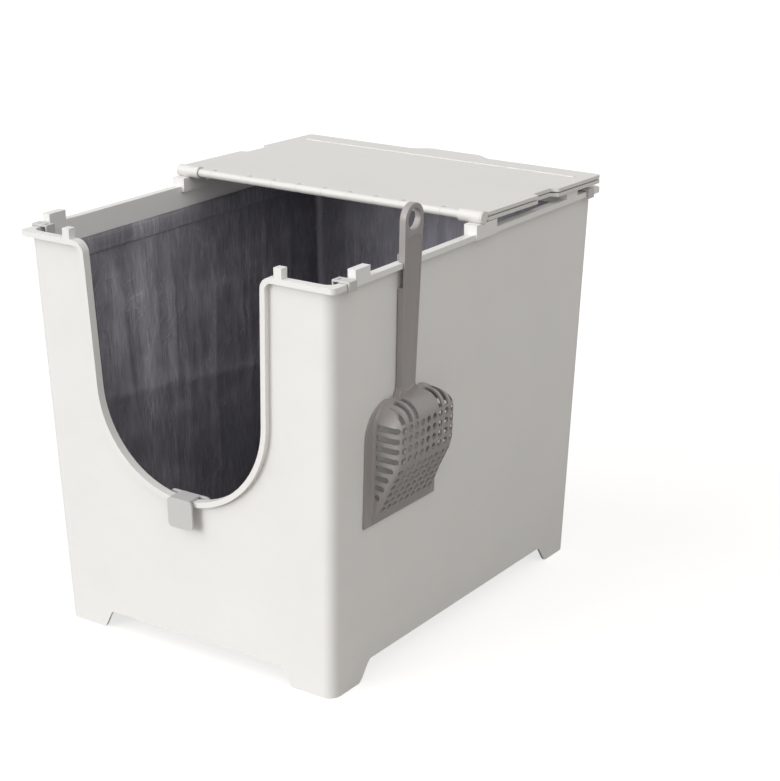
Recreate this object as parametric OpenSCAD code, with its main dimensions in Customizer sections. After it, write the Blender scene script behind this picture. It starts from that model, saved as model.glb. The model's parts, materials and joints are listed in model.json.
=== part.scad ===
// Open-front litter box with a folding two-leaf lid, a clipped-in fabric liner
// and a scoop that hangs on the rim. Millimetres. The front faces -Y, +Z is up.

/* [Bin] */
// Outer width of the bin at its rim
bin_w = 398.4; // [370:0.2:430]
// Outer depth of the bin at its rim
bin_d = 516.9; // [480:0.1:560]
// Height of the bin from the ground to the top of its rim
bin_h = 452; // [430:1:490]
// Thickness of the moulded walls and floor
wall = 3; // [2.4:0.1:3.6]
// How far each wall leans in between its rim and its foot
draft = 15.3; // [10:0.1:20]
// Radius of the upright outer corners
corner_r = 13; // [10:0.5:18]
// How far the rim flange stands out from the wall
rim_out = 6.5; // [5:0.1:8]
// Height of the rim flange
rim_t = 6.1; // [4.5:0.1:7.5]
// Plan radius of the rim flange corners
rim_corner_r = 6; // [4:0.5:10]

/* [Feet] */
// Height of the open arches between the feet
arch_h = 22; // [16:1:30]
// Width of each foot seen from the front
foot_front_w = 50.9; // [42:0.1:60]
// Width of each foot seen from the side
foot_side_w = 46.2; // [38:0.1:60]
// Length of the curved run-up of the front and rear arches
ramp_front_l = 16; // [10:0.5:24]
// Length of the curved run-up of the side arches
ramp_side_l = 22.5; // [12:0.5:30]

/* [Entry] */
// Radius of the rounded bottom of the front entry
entry_r = 110; // [100:1:118]
// Height of the centre of that radius above the ground
entry_centre_h = 297; // [285:1:315]
// Outward lean of the straight entry sides, in degrees
entry_flare = 2.4; // [0.5:0.1:3.5]
// Radius where the entry sides turn on to the rim
entry_top_r = 14; // [10:0.5:18]

/* [Lid rests] */
// Height of the front lid rests above the rim
rest_h = 11; // [9:0.5:14]
// Width of the square rests on the front and rear walls
rest_w = 9.5; // [8:0.5:12]
// Gap between the turned entry edge and the rest beside it
rest_gap = 4; // [2:0.5:8]
// Length of the rests on the side walls
side_rest_l = 25; // [18:0.5:32]
// Distance of the front side rests from the front edge of the rim
side_rest_front = 36.5; // [34:0.5:46]
// Distance of the rear side rests from the rear edge of the rim
side_rest_rear = 56; // [50:0.5:70]
// Gap left between a rest and what sits on it
seat_gap = 0.3; // [0.2:0.05:0.5]

/* [Lid] */
// Distance of the hinge line behind the middle of the bin
hinge_y = 3; // [0:0.5:6]
// Thickness of each lid leaf
leaf_t = 4; // [3.4:0.1:4.6]
// Air gap between the two leaves when folded
leaf_gap = 1.5; // [1.1:0.1:2.1]
// How far the leaves stand out past the rim at the sides
lid_over = 2.6; // [1.5:0.1:4]
// How far the rear leaf stops short of the rear rim edge
lid_inset = 6; // [4:0.5:8]
// Slope of the rear leaf down towards the rear, in degrees
lid_lean = 1.2; // [0.8:0.1:1.4]
// Plan radius of the lid's free corners
leaf_corner_r = 5; // [3:0.5:8]
// How far the finger tab stands out from the free edge
tab_out = 13; // [9:0.5:16]
// Length of the straight part of the finger tab
tab_l = 66; // [50:1:90]
// Length of each curved shoulder of the finger tab
tab_shoulder = 24; // [16:1:32]
// Distance of the stiffening rib from the free edge
rib_in = 33; // [26:0.5:40]
// Width of the stiffening rib
rib_w = 2.6; // [2:0.1:4]
// Height of the stiffening rib
rib_h = 0.9; // [0.6:0.1:1.2]
// How far the rib stops short of the leaf's side edges
rib_end = 18; // [17:0.5:24]
// Depth of the side notches that clear the scoop handle
notch_d = 8.6; // [8.4:0.1:10]
// Length of the full-depth part of a side notch
notch_l = 37; // [36:0.5:42]
// Length of each curved end of a side notch
notch_ramp = 5; // [4:0.5:8]

/* [Hinge] */
// Radius of the end knuckles on the rear leaf
knuckle_r = 7; // [6:0.1:8]
// Length of each end knuckle
knuckle_l = 28; // [22:0.5:34]
// Thickness of the discs that close the knuckle ends
cap_t = 2; // [1.5:0.1:2.6]
// Diameter of the hinge rod
rod_d = 4; // [3:0.1:4.6]
// Radial running clearance of the rod
rod_fit = 0.05; // [0.02:0.01:0.08]
// Spacing of the slim fingers that hold the rod
finger_pitch = 35; // [30:0.5:40]
// Number of slim fingers at that spacing
finger_n = 7; // [5:2:7]
// Distance of the outermost finger pair from the middle
finger_end = 157; // [150:1:165]
// Width of a slim finger
finger_w = 5; // [4:0.1:6]
// Clearance of a finger in its slot, and of other hinge ends
finger_gap = 0.5; // [0.4:0.05:0.8]
// Length of the hinge blocks on the side walls
block_l = 41; // [36:0.5:48]
// How much of a hinge block lies in front of the hinge line
block_front = 14; // [11:0.5:17]
// Width of the hinge blocks across the wall
block_w = 16; // [15:0.5:19]
// How far the hinge blocks stand out past the rim flange
block_out = 2; // [1:0.1:2.4]
// Width across the wall of the pegs that locate the lid
peg_w = 6; // [4.5:0.1:7]
// Length of the lid's locating pegs
peg_l = 10; // [8:0.5:12]
// How far the locating pegs reach down below the leaf
peg_h = 7; // [5:0.5:8]
// Distance of the pegs behind the hinge line
peg_back = 10; // [9:0.5:12]
// Clearance round a peg in its pocket
peg_gap = 0.6; // [0.4:0.05:1]

/* [Scoop] */
// Distance of the scoop's middle behind the front edge of the rim
scoop_in = 133; // [131:0.5:135]
// Thickness of the scoop handle
handle_t = 7.5; // [7:0.1:8]
// Half of the handle's width at its loop end
handle_top_r = 16.4; // [15:0.1:17]
// Half of the handle's width where it meets the head
handle_low_r = 12.6; // [10:0.1:14]
// Height of the handle's top above the rim
handle_top = 59; // [52:0.5:66]
// Radius of the hanging hole in the loop
loop_r = 11; // [9:0.1:11.5]
// Thickness of the handle left outside the rim flange
handle_web = 2; // [1.6:0.1:2.4]
// Clearance between the rim flange and the handle's notch
notch_gap = 0.5; // [0.4:0.05:0.7]
// How far the handle's notch reaches down below the rim
notch_drop = 27; // [25:0.5:32]
// Gap between the rim's inner face and the hook
hook_gap = 2; // [1.8:0.1:2.4]
// Thickness of the hook's leg
hook_t = 2.5; // [2:0.1:3]
// How far the hook reaches down inside the rim
hook_drop = 5; // [4:0.1:5.5]
// Width of the hook
hook_w = 10; // [8:0.5:14]
// Thickness of the bridge over the rim
bridge_t = 4; // [3:0.1:5]
// Width of the scoop's flat border
head_w = 131; // [120:0.5:136]
// Distance of the head's top below the rim
head_top = 141; // [132:0.5:150]
// Distance of the scoop's lip below the rim
lip_drop = 274; // [262:0.5:282]
// Width of the sifting basket
basket_w = 106; // [98:0.5:112]
// Depth of the sifting basket
basket_depth = 34; // [28:0.5:38]
// Wall thickness of the basket and its border
basket_t = 2.2; // [1.8:0.1:2.6]
// Height of the basket's flat face above its sloping part
basket_flat = 63; // [56:0.5:70]
// Plan radius of the basket's top corners
basket_corner_r = 26; // [18:0.5:32]
// Radius of the dome at the top of the basket
dome_r = 20; // [14:0.5:24]
// Radius of the upright edges of the basket
basket_edge_r = 10; // [6:0.5:12]
// Spacing of the sifting holes
hole_pitch = 11; // [10.4:0.1:12]
// Radius of the round sifting holes
hole_r = 3.6; // [2.8:0.1:3.9]
// Height of the sifting slots
slot_h = 6.4; // [5.4:0.1:7]

/* [Liner] */
// Thickness of the liner cloth as a solid
cloth_t = 1.2; // [0.8:0.1:1.4]
// Least gap between the cloth and the wall behind it
cloth_gap = 0.6; // [0.4:0.05:0.8]
// Distance of the liner's top edge below the rim
liner_drop = 25; // [20:0.5:30]
// Height of the doubled hem at the top of the liner
hem_h = 20; // [14:0.5:24]
// Depth of the soft upright folds
fold_d = 2.6; // [0:0.1:4]
// Depth of the packing crease across the side panels
crease_d = 3.4; // [0:0.1:5]
// Height of the packing crease above the ground
crease_h = 226; // [200:1:250]
// How far the liner stays back from the entry edge
liner_entry_gap = 3; // [2:0.5:5]
// Width of the binding tape round the liner's entry edge
binding_w = 8; // [6:0.5:10]
// Width of the fabric tabs held by the corner clips
strap_w = 12; // [8:0.5:14]
// Clear gap between neighbouring layers of cloth
layer_gap = 0.3; // [0.25:0.05:0.4]

/* [Clips] */
// Sheet thickness of the moulded clips
clip_t = 2.2; // [1.8:0.1:2.6]
// Length of a corner clip along the rim
clip_w = 13; // [12.5:0.5:14]
// Distance of the corner clips' middles from the rim's end edges
clip_in = 28.5; // [25:0.5:28.5]
// Gap between a corner clip's outer leg and the rim flange
clip_gap = 0.9; // [0.5:0.1:1.2]
// Height of a corner clip's outer leg
clip_leg = 10.5; // [8.5:0.5:14]
// Height of a corner clip's inner leg
clip_inner_leg = 18; // [12:0.5:20]
// Width of the front clip's plate
clip_plate_w = 33; // [26:0.5:38]
// Height of the front clip's plate
clip_plate_h = 34; // [28:0.5:40]
// How far the front clip's plate stands off the rolled entry edge
clip_stand = 3.4; // [2:0.1:5]
// Width of the front clip's saddle
saddle_w = 26; // [20:0.5:30]
// Width of the front clip's inner leaf
clip_leaf_w = 54; // [44:0.5:60]
// Height of the front clip's inner leaf
clip_leaf_h = 40; // [30:0.5:48]

/* [Hidden] */
$fn = 48;
eps = 0.01;
over = 5;

shell_white = [0.90, 0.89, 0.87];
lid_white = [0.86, 0.85, 0.82];
clip_grey = [0.76, 0.76, 0.75];
scoop_grey = [0.50, 0.47, 0.46];
cloth_grey = [0.27, 0.26, 0.29];
steel = [0.70, 0.70, 0.72];

// Outline of the bin at a height z
function half_w(z) = bin_w / 2 - draft * (1 - z / bin_h);
function half_d(z) = bin_d / 2 - draft * (1 - z / bin_h);
// A soft S-shaped run from one point to another, in n steps
function s_run(x0, y0, x1, y1, n = 8) =
  [for (i = [0:n]) let(t = i / n) [x0 + (x1 - x0) * t, y0 + (y1 - y0) * t * t * (3 - 2 * t)]];
function flipped(points) = [for (i = [len(points) - 1:-1:0]) [-points[i][0], points[i][1]]];

tilt = atan(draft / bin_h);
rim_x = bin_w / 2 + rim_out;
rim_y = bin_d / 2 + rim_out;
floor_top = arch_h + wall;

// Entry outline, in the plane of the front wall with y = 0 at the rim
entry_cy = -(bin_h - entry_centre_h) / cos(tilt);
entry_low = entry_cy - entry_r;
entry_turn_x = (entry_r + entry_top_r - (entry_top_r + entry_cy) * sin(entry_flare))
  / cos(entry_flare);

// Hinge line and lid
barrel_r = leaf_t + leaf_gap / 2;
hinge_z = bin_h + rest_h + seat_gap + barrel_r;
lid_half = rim_x + lid_over;
lid_reach = rim_y - hinge_y - lid_inset;
knuckle_out = lid_half - cap_t;
knuckle_in = knuckle_out - knuckle_l;
block_y = hinge_y - block_front;
block_top = hinge_z - knuckle_r + 1;
peg_x = rim_x + block_out - block_w / 2;
finger_ring_r = barrel_r - 0.15;
fingers = concat(
  [for (i = [0:finger_n - 1]) (i - (finger_n - 1) / 2) * finger_pitch],
  [-finger_end, finger_end]);

// Scoop
scoop_x = rim_x + notch_gap + handle_web;
scoop_y = scoop_in - rim_y;
// It hangs from the rim and leans in until its lip nearly meets the wall
lip_reach = scoop_x - handle_t - seat_gap - half_w(bin_h - lip_drop);
scoop_lean = asin(lip_reach / lip_drop);
notch_c = hinge_y - scoop_y;
basket_out = basket_depth - handle_t;
flat_low = -head_top - basket_flat;
slope_run = lip_drop - head_top - basket_flat;
slope_deg = atan(basket_depth / slope_run);
lip_solid = 8;
slot_margin = 3.5;

// Liner layers, measured inwards from the bin's inner face
liner_top = bin_h - liner_drop;
inner_r = corner_r - wall;
hem_in = cloth_gap + cloth_t + layer_gap;
strap_in = hem_in + cloth_t + layer_gap;

// The whole object stands on the middle of its own footprint
scoop_max_x = scoop_x + basket_out * cos(scoop_lean) - (head_top + dome_r) * sin(scoop_lean);
frame_x = (scoop_max_x - lid_half) / 2;
frame_y = (hinge_y + lid_reach + tab_out - rim_y) / 2;
module placed() {
  translate([-frame_x, -frame_y, 0]) children();
}

// Flat rectangle with round corners, centred
module round_rect(w, d, r) {
  square([w - 2 * r, d], center = true);
  square([w, d - 2 * r], center = true);
  for (x = [-1, 1], y = [-1, 1])
    translate([x * (w / 2 - r), y * (d / 2 - r)]) circle(r = r);
}

// Solid body of the bin between two heights, set in from its outer face
module tub(inset, z0, z1) {
  r = max(corner_r - inset, 1);
  hull()
    for (z = [z0, z1 - eps], x = [-1, 1], y = [-1, 1])
      translate([x * (half_w(z) - inset - r), y * (half_d(z) - inset - r), z])
        cylinder(r = r, h = eps, $fn = 32);
}

// Puts a shape drawn in the plane of the front wall in its place: x across,
// y up the wall with 0 at the rim, z out of the wall
module on_front_wall() {
  translate([0, -bin_d / 2, bin_h]) rotate([90 + tilt, 0, 0]) children();
}

// Opening of the entry, made larger all round by grow
module entry_outline(grow = 0) {
  r = entry_r + grow;
  turn_r = entry_top_r - grow;
  foot = [r * cos(entry_flare), entry_cy - r * sin(entry_flare)];
  above = 30;
  head = [foot[0] + (above - foot[1]) * tan(entry_flare), above];
  turn = [entry_turn_x, -entry_top_r];
  touch = [turn[0] - turn_r * cos(entry_flare), turn[1] + turn_r * sin(entry_flare)];
  translate([0, entry_cy]) circle(r = r, $fn = 96);
  polygon([[-foot[0], foot[1]], foot, head, [-head[0], head[1]]]);
  for (side = [0, 1])
    mirror([side, 0])
      difference() {
        polygon([[0, turn[1]], touch, turn, [turn[0], above], [0, above]]);
        translate(turn) circle(r = turn_r);
      }
}

// Arch between two feet, as a cutter outline
module arch_outline(half_open, ramp_l) {
  side = s_run(half_open, 0, half_open - ramp_l, arch_h);
  polygon(concat([[half_open, -over]], side, flipped(side), [[-half_open, -over]]));
}

module rim_flange() {
  translate([0, 0, bin_h - rim_t])
    linear_extrude(rim_t)
      round_rect(2 * rim_x, 2 * rim_y, rim_corner_r);
}

module entry_flange() {
  on_front_wall()
    translate([0, 0, -wall])
      linear_extrude(wall + rim_out)
        intersection() {
          entry_outline(rim_t);
          translate([-rim_x, entry_low - 2 * rim_t]) square([2 * rim_x, 2 * rim_t - entry_low]);
        }
}

module end_rest(x, end) {
  depth = rim_out + wall;
  translate([x - rest_w / 2, end > 0 ? rim_y - depth : -rim_y, bin_h - eps])
    cube([rest_w, depth, rest_h + eps]);
}

module side_rest(side, y0) {
  depth = rim_out + wall;
  translate([side > 0 ? rim_x - depth : -rim_x, y0, bin_h - eps])
    cube([depth, side_rest_l, rest_h + eps]);
}

module lid_rests() {
  end_x = entry_turn_x + rest_gap + rest_w / 2;
  for (x = [-end_x, end_x], end = [-1, 1]) end_rest(x, end);
  for (side = [-1, 1]) {
    side_rest(side, -rim_y + side_rest_front);
    side_rest(side, rim_y - side_rest_rear - side_rest_l);
  }
}

module hinge_block() {
  x0 = rim_x + block_out - block_w;
  low = bin_h - rim_t;
  difference() {
    translate([x0, block_y, low]) cube([block_w, block_l, block_top - low]);
    translate([0, hinge_y, hinge_z]) rotate([0, 90, 0])
      cylinder(r = knuckle_r + seat_gap, h = 2 * lid_half);
    translate([peg_x - peg_w / 2 - peg_gap, hinge_y + peg_back - peg_gap, block_top - peg_h])
      cube([peg_w + 2 * peg_gap, peg_l + 2 * peg_gap, peg_h + over]);
  }
}

// Everything above the underside of the seated lid, behind the hinge line
module above_lid_plane() {
  on_hinge()
    translate([-rim_x - over, 0, -barrel_r - seat_gap])
      cube([2 * (rim_x + over), 2 * lid_reach, 4 * rest_h]);
}

module bin_shell() color(shell_white) {
  difference() {
    union() {
      tub(0, 0, bin_h);
      rim_flange();
      entry_flange();
    }
    tub(wall, floor_top, bin_h + over);
    tub(wall, -over, arch_h);
    on_front_wall()
      translate([0, 0, -wall - over])
        linear_extrude(wall + rim_out + 2 * over) entry_outline();
    rotate([90, 0, 0])
      linear_extrude(bin_d + 2 * over, center = true)
        arch_outline(half_w(0) - foot_front_w, ramp_front_l);
    rotate([90, 0, 90])
      linear_extrude(bin_w + 2 * over, center = true)
        arch_outline(half_d(0) - foot_side_w, ramp_side_l);
  }
  difference() {
    lid_rests();
    above_lid_plane();
  }
  for (side = [0, 1]) mirror([side, 0, 0]) hinge_block();
}

// Lid leaves are drawn with the hinge line at the origin and +y to the rear
module on_hinge() {
  translate([0, hinge_y, hinge_z]) rotate([-lid_lean, 0, 0]) children();
}

// Right-hand edge of a leaf from its hinge end to the middle of its tab
function leaf_edge(y0) = let(
    x = lid_half, n = x - notch_d, half = notch_l / 2, c = notch_c,
    tab0 = tab_l / 2 + tab_shoulder)
  concat(
    [[x, y0]],
    [for (p = s_run(c - half - notch_ramp, x, c - half, n, 6)) [p[1], p[0]]],
    [for (p = s_run(c + half, n, c + half + notch_ramp, x, 6)) [p[1], p[0]]],
    [for (i = [0:6]) let(a = 15 * i)
      [x - leaf_corner_r * (1 - cos(a)), lid_reach - leaf_corner_r * (1 - sin(a))]],
    s_run(tab0, lid_reach, tab_l / 2, lid_reach + tab_out));

module leaf_outline(y0) {
  edge = leaf_edge(y0);
  polygon(concat(edge, flipped(edge)));
}

module along_hinge(r, x0, x1) {
  translate([x0, 0, 0]) rotate([0, 90, 0]) cylinder(r = r, h = x1 - x0);
}

module rod_bore() {
  along_hinge(rod_d / 2 + rod_fit, -lid_half - over, lid_half + over);
}

module lid_rear_leaf() color(lid_white) on_hinge() {
  clear_y = knuckle_r + finger_gap;
  difference() {
    union() {
      translate([0, 0, -barrel_r]) linear_extrude(leaf_t) {
        leaf_outline(clear_y);
        translate([-knuckle_in, barrel_r + finger_gap])
          square([2 * knuckle_in, clear_y - barrel_r]);
        for (side = [0, 1])
          mirror([side, 0]) translate([knuckle_in, 0]) square([knuckle_l, clear_y + 1]);
      }
      for (side = [0, 1])
        mirror([side, 0, 0]) {
          along_hinge(knuckle_r, knuckle_in, knuckle_out);
          translate([peg_x - peg_w / 2, peg_back, -barrel_r - peg_h])
            cube([peg_w, peg_l, peg_h + leaf_t / 2]);
        }
      for (x = fingers) {
        along_hinge(finger_ring_r, x - finger_w / 2, x + finger_w / 2);
        translate([x - finger_w / 2, 0, -finger_ring_r])
          cube([finger_w, clear_y, finger_ring_r - leaf_gap / 2]);
      }
    }
    rod_bore();
  }
}

module lid_front_leaf() color(lid_white) on_hinge() {
  inner = knuckle_in - finger_gap;
  clear_y = knuckle_r + finger_gap;
  slot_w = finger_w + 2 * finger_gap;
  difference() {
    union() {
      translate([0, 0, leaf_gap / 2]) linear_extrude(leaf_t) {
        leaf_outline(clear_y);
        translate([-inner, 0]) square([2 * inner, clear_y + 1]);
      }
      along_hinge(barrel_r, -inner, inner);
      translate([-lid_half + rib_end, lid_reach - rib_in, barrel_r - eps])
        cube([2 * (lid_half - rib_end), rib_w, rib_h + eps]);
    }
    rod_bore();
    for (x = fingers)
      translate([x - slot_w / 2, -barrel_r - 1, -barrel_r - 1])
        cube([slot_w, 2 * barrel_r + 1.5, 2 * barrel_r + 2]);
  }
}

module hinge_rod() color(steel) on_hinge() {
  along_hinge(rod_d / 2, -knuckle_out - cap_t / 2, knuckle_out + cap_t / 2);
}

module hinge_cap(side) {
  on_hinge() mirror([side > 0 ? 0 : 1, 0, 0])
    difference() {
      along_hinge(knuckle_r - 0.2, knuckle_out, knuckle_out + cap_t);
      along_hinge(rod_d / 2 + rod_fit, knuckle_out - 1, knuckle_out + cap_t / 2);
    }
}
module hinge_cap_left() color(lid_white) hinge_cap(-1);
module hinge_cap_right() color(lid_white) hinge_cap(1);

// The scoop is drawn hanging: x out from the wall with 0 at the handle's front,
// y along the wall, z up with 0 at the top of the rim
module on_scoop() {
  translate([scoop_x, scoop_y, bin_h]) rotate([0, scoop_lean, 0]) children();
}

// Stands a plan drawn as (y, z) upright, from x0 to x1
module upright(x0, x1) {
  translate([x0, 0, 0]) rotate([90, 0, 90]) linear_extrude(x1 - x0) children();
}

module handle_plan() {
  top_z = handle_top - handle_top_r;
  neck = -head_top + 12;
  flare = 7;
  low = s_run(neck - flare, handle_low_r + flare, neck, handle_low_r);
  side = concat([[top_z, handle_top_r]], [for (i = [len(low) - 1:-1:0]) low[i]],
    [[-head_top - 4, handle_low_r + flare]]);
  translate([0, top_z]) circle(r = handle_top_r);
  polygon(concat([for (p = side) [p[1], p[0]]],
    [for (i = [len(side) - 1:-1:0]) [-side[i][1], side[i][0]]]));
}

module head_plan(w, top, low, r) {
  translate([-w / 2, low]) square([w, top - low - r]);
  translate([-w / 2 + r, low]) square([w - 2 * r, top - low]);
  for (y = [-1, 1]) translate([y * (w / 2 - r), top - r]) circle(r = r);
}

// Side view of the basket as (x, z), drawn in from its outer face by inset
module basket_profile(inset) {
  x1 = basket_out - inset;
  top = -head_top - inset;
  r = dome_r - inset;
  back = inset / cos(slope_deg);
  turn = flat_low + inset * tan(slope_deg / 2);
  low = inset > 0 ? -lip_drop + lip_solid : -lip_drop;
  low_x = -handle_t + (low + lip_drop) * tan(slope_deg) - back;
  polygon(concat(
    [[-handle_t - inset, low], [low_x + basket_t * (inset > 0 ? 0 : 1), low], [x1, turn]],
    [for (i = [0:6]) let(a = 15 * i) [x1 - r * (1 - cos(a)), top - r * (1 - sin(a))]],
    [[-handle_t - inset, top]]));
}

module basket_body(inset) {
  w = basket_w - 2 * inset;
  intersection() {
    rotate([90, 0, 0]) linear_extrude(w + 2, center = true) basket_profile(inset);
    upright(-handle_t - inset, basket_out)
      head_plan(w, -head_top - inset, -lip_drop, basket_corner_r - inset);
    translate([-over, 0, -lip_drop]) linear_extrude(lip_drop)
      translate([basket_out - inset - 60 + over, 0])
        round_rect(120, w, basket_edge_r - inset);
  }
}

module sifting_holes() {
  cols = floor((basket_w / 2 - basket_edge_r + 1) / hole_pitch);
  first = -head_top - dome_r - hole_r + 0.4;
  rows = floor((basket_flat - dome_r - hole_r) / hole_pitch);
  for (c = [-cols:cols], r = [0:rows])
    translate([0, c * hole_pitch, first - r * hole_pitch])
      rotate([0, 90, 0]) cylinder(r = hole_r, h = basket_out + over, $fn = 24);
  slope_l = slope_run / cos(slope_deg);
  slope_rows = floor((slope_l - 2 * lip_solid) / (hole_pitch - 1));
  translate([basket_out, 0, flat_low]) rotate([0, slope_deg, 0])
    for (c = [-cols:cols], r = [1:slope_rows])
      translate([-over, c * hole_pitch - hole_r, -r * (hole_pitch - 1) - slot_h / 2 + 2])
        cube([2 * over, 2 * hole_r, slot_h]);
  side_in = -handle_t + 2.5 * basket_t;
  for (r = [0:rows + 4], side = [-1, 1]) {
    z = first - r * hole_pitch - slot_h / 2;
    slope_x = -handle_t + (z + lip_drop) * tan(slope_deg);
    side_out = min(basket_out, slope_x) - slot_margin;
    if (side_out - side_in > basket_t)
      translate([side_in, side * basket_w / 2 - slot_margin, z])
        cube([side_out - side_in, 2 * slot_margin, slot_h]);
  }
  for (c = [2:cols], side = [-1, 1])
    translate([-handle_t + 3 * basket_t, side * c * hole_pitch - slot_h / 2,
        first + hole_pitch / 2 + 1])
      cube([basket_depth, slot_h, dome_r]);
}

module scoop() color(scoop_grey) on_scoop() {
  difference() {
    union() {
      difference() {
        upright(-handle_t, 0) handle_plan();
        upright(-handle_t - 1, 1)
          translate([0, handle_top - handle_top_r]) circle(r = loop_r);
        translate([-handle_t - 1, -handle_top_r - 1, -notch_drop])
          cube([handle_t - handle_web + 1, 2 * handle_top_r + 2, notch_drop + seat_gap]);
      }
      hook_x = scoop_x - bin_w / 2 + wall + hook_gap;
      translate([-hook_x - hook_t, -hook_w / 2, seat_gap])
        cube([hook_x + hook_t - handle_web, hook_w, bridge_t]);
      translate([-hook_x - hook_t, -hook_w / 2, -hook_drop])
        cube([hook_t, hook_w, hook_drop + seat_gap + bridge_t]);
      upright(-handle_t, -handle_t + basket_t)
        head_plan(head_w, -head_top, -lip_drop, basket_corner_r + (head_w - basket_w) / 2);
      basket_body(0);
    }
    basket_body(basket_t);
    sifting_holes();
  }
}

// ---- Liner ----
arc_n = 4;
side_n = 26;
rear_n = 20;
rows_n = 12;
half_row = 0.5 / rows_n;
fold_rise = 30;
seam_deg = 0.8;

function soft_window(t) = t * (1 - t) * 4;
function row_z(j) = floor_top + cloth_gap + (liner_top - floor_top - cloth_gap) * j / rows_n;
// Upright folds and the packing crease, fading out towards corners, hem and floor
function drape(t, z, waves, turn) = let(
    free = (liner_top - hem_h - z) / (liner_top - floor_top),
    up = max(0, min(1, 6 * (free - half_row))),
    down = min(1, (z - floor_top - cloth_gap) / fold_rise),
    edge = min(1, 2.2 * soft_window(t)))
  cloth_gap + up * down * edge * (
    fold_d * (0.5 + 0.5 * sin(360 * waves * t + turn + 40 * sin(z)))
    + crease_d * exp(-pow((z - crease_h) / 16, 2)));

function side_point(i, z, d) = let(
    a = half_w(z) - wall, b = half_d(z) - wall, r = inner_r,
    s = (i - arc_n) / side_n)
  i < arc_n ? let(q = -90 + 90 * i / arc_n)
      [a - r + (r - d) * cos(q), -(b - r) + (r - d) * sin(q), z]
  : i <= arc_n + side_n ? [a - d, (b - r) * (2 * s - 1), z]
  : let(q = (45 - seam_deg) * (i - arc_n - side_n) / arc_n)
      [a - r + (r - d) * cos(q), b - r + (r - d) * sin(q), z];
function rear_point(i, z, d) = let(
    a = half_w(z) - wall, b = half_d(z) - wall, r = inner_r,
    s = (i - arc_n) / rear_n)
  i < arc_n ? let(q = 45 + seam_deg + (45 - seam_deg) * i / arc_n)
      [a - r + (r - d) * cos(q), b - r + (r - d) * sin(q), z]
  : i <= arc_n + rear_n ? [(a - r) * (1 - 2 * s), b - d, z]
  : let(q = 90 + (45 - seam_deg) * (i - arc_n - rear_n) / arc_n)
      [-(a - r) + (r - d) * cos(q), b - r + (r - d) * sin(q), z];
function side_depth(i, z, waves, turn) =
  drape(max(0, min(1, (i - arc_n) / side_n)), z, waves, turn);
function rear_depth(i, z, waves, turn) =
  drape(max(0, min(1, (i - arc_n) / rear_n)), z, waves, turn);

// Closed sheet from an outer and an inner grid of points, rows from the bottom
module sheet(outer, inner, nu, nv) {
  m = nu + 1;
  back = m * (nv + 1);
  polyhedron(
    points = concat(outer, inner),
    faces = concat(
      [for (j = [0:nv - 1], i = [0:nu - 1]) let(p = j * m + i) each
        [[p, p + m, p + m + 1], [p, p + m + 1, p + 1]]],
      [for (j = [0:nv - 1], i = [0:nu - 1]) let(p = back + j * m + i) each
        [[p, p + m + 1, p + m], [p, p + 1, p + m + 1]]],
      [for (i = [0:nu - 1]) each let(p = i, q = back + i)
        [[p, p + 1, q + 1], [p, q + 1, q]]],
      [for (i = [0:nu - 1]) each let(p = nv * m + i, q = back + nv * m + i)
        [[p + 1, p, q], [p + 1, q, q + 1]]],
      [for (j = [0:nv - 1]) each let(p = j * m, q = back + j * m)
        [[p + m, p, q], [p + m, q, q + m]]],
      [for (j = [0:nv - 1]) each let(p = j * m + nu, q = back + j * m + nu)
        [[p, p + m, q + m], [p, q + m, q]]]));
}

module side_panel(waves, turn) {
  nu = side_n + 2 * arc_n;
  face = [for (extra = [0, cloth_t]) [for (j = [0:rows_n], i = [0:nu]) let(z = row_z(j))
    side_point(i, z, side_depth(i, z, waves, turn) + extra)]];
  sheet(face[0], face[1], nu, rows_n);
}

module liner_right() color(cloth_grey) side_panel(5, 60);
module liner_left() color(cloth_grey) mirror([1, 0, 0]) side_panel(6, 200);
module liner_rear() color(cloth_grey) {
  nu = rear_n + 2 * arc_n;
  face = [for (extra = [0, cloth_t]) [for (j = [0:rows_n], i = [0:nu]) let(z = row_z(j))
    rear_point(i, z, rear_depth(i, z, 4, 120) + extra)]];
  sheet(face[0], face[1], nu, rows_n);
}

module liner_floor() color(cloth_grey) {
  in = cloth_gap + cloth_t + layer_gap;
  z = floor_top + cloth_gap;
  translate([0, 0, z]) linear_extrude(cloth_t)
    round_rect(2 * (half_w(z) - wall - in), 2 * (half_d(z) - wall - in), inner_r - in);
}

// Flat layer behind the front wall, between the two front corners
module front_layer(depth, t, low_z, top_z) {
  on_front_wall() translate([0, 0, -wall - depth - t]) linear_extrude(t)
    intersection() {
      polygon([for (p = [[1, low_z], [1, top_z], [-1, top_z], [-1, low_z]])
        [p[0] * (half_w(p[1]) - corner_r - layer_gap), (p[1] - bin_h) / cos(tilt)]]);
      children();
    }
}

module liner_front() color(cloth_grey)
  front_layer(cloth_gap, cloth_t, floor_top + cloth_gap, liner_top)
    difference() {
      square(2 * bin_h, center = true);
      entry_outline(liner_entry_gap);
    }

module liner_entry_binding() color(cloth_grey)
  front_layer(hem_in, cloth_t, floor_top + hem_h, liner_top - hem_h - layer_gap)
    difference() {
      entry_outline(liner_entry_gap + binding_w);
      entry_outline(liner_entry_gap);
    }

module liner_hem() color(cloth_grey)
  difference() {
    tub(wall + hem_in, liner_top - hem_h, liner_top);
    tub(wall + hem_in + cloth_t, liner_top - hem_h - over, liner_top + over);
    on_front_wall() translate([0, 0, -8 * wall]) linear_extrude(16 * wall)
      entry_outline(liner_entry_gap);
  }

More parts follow.
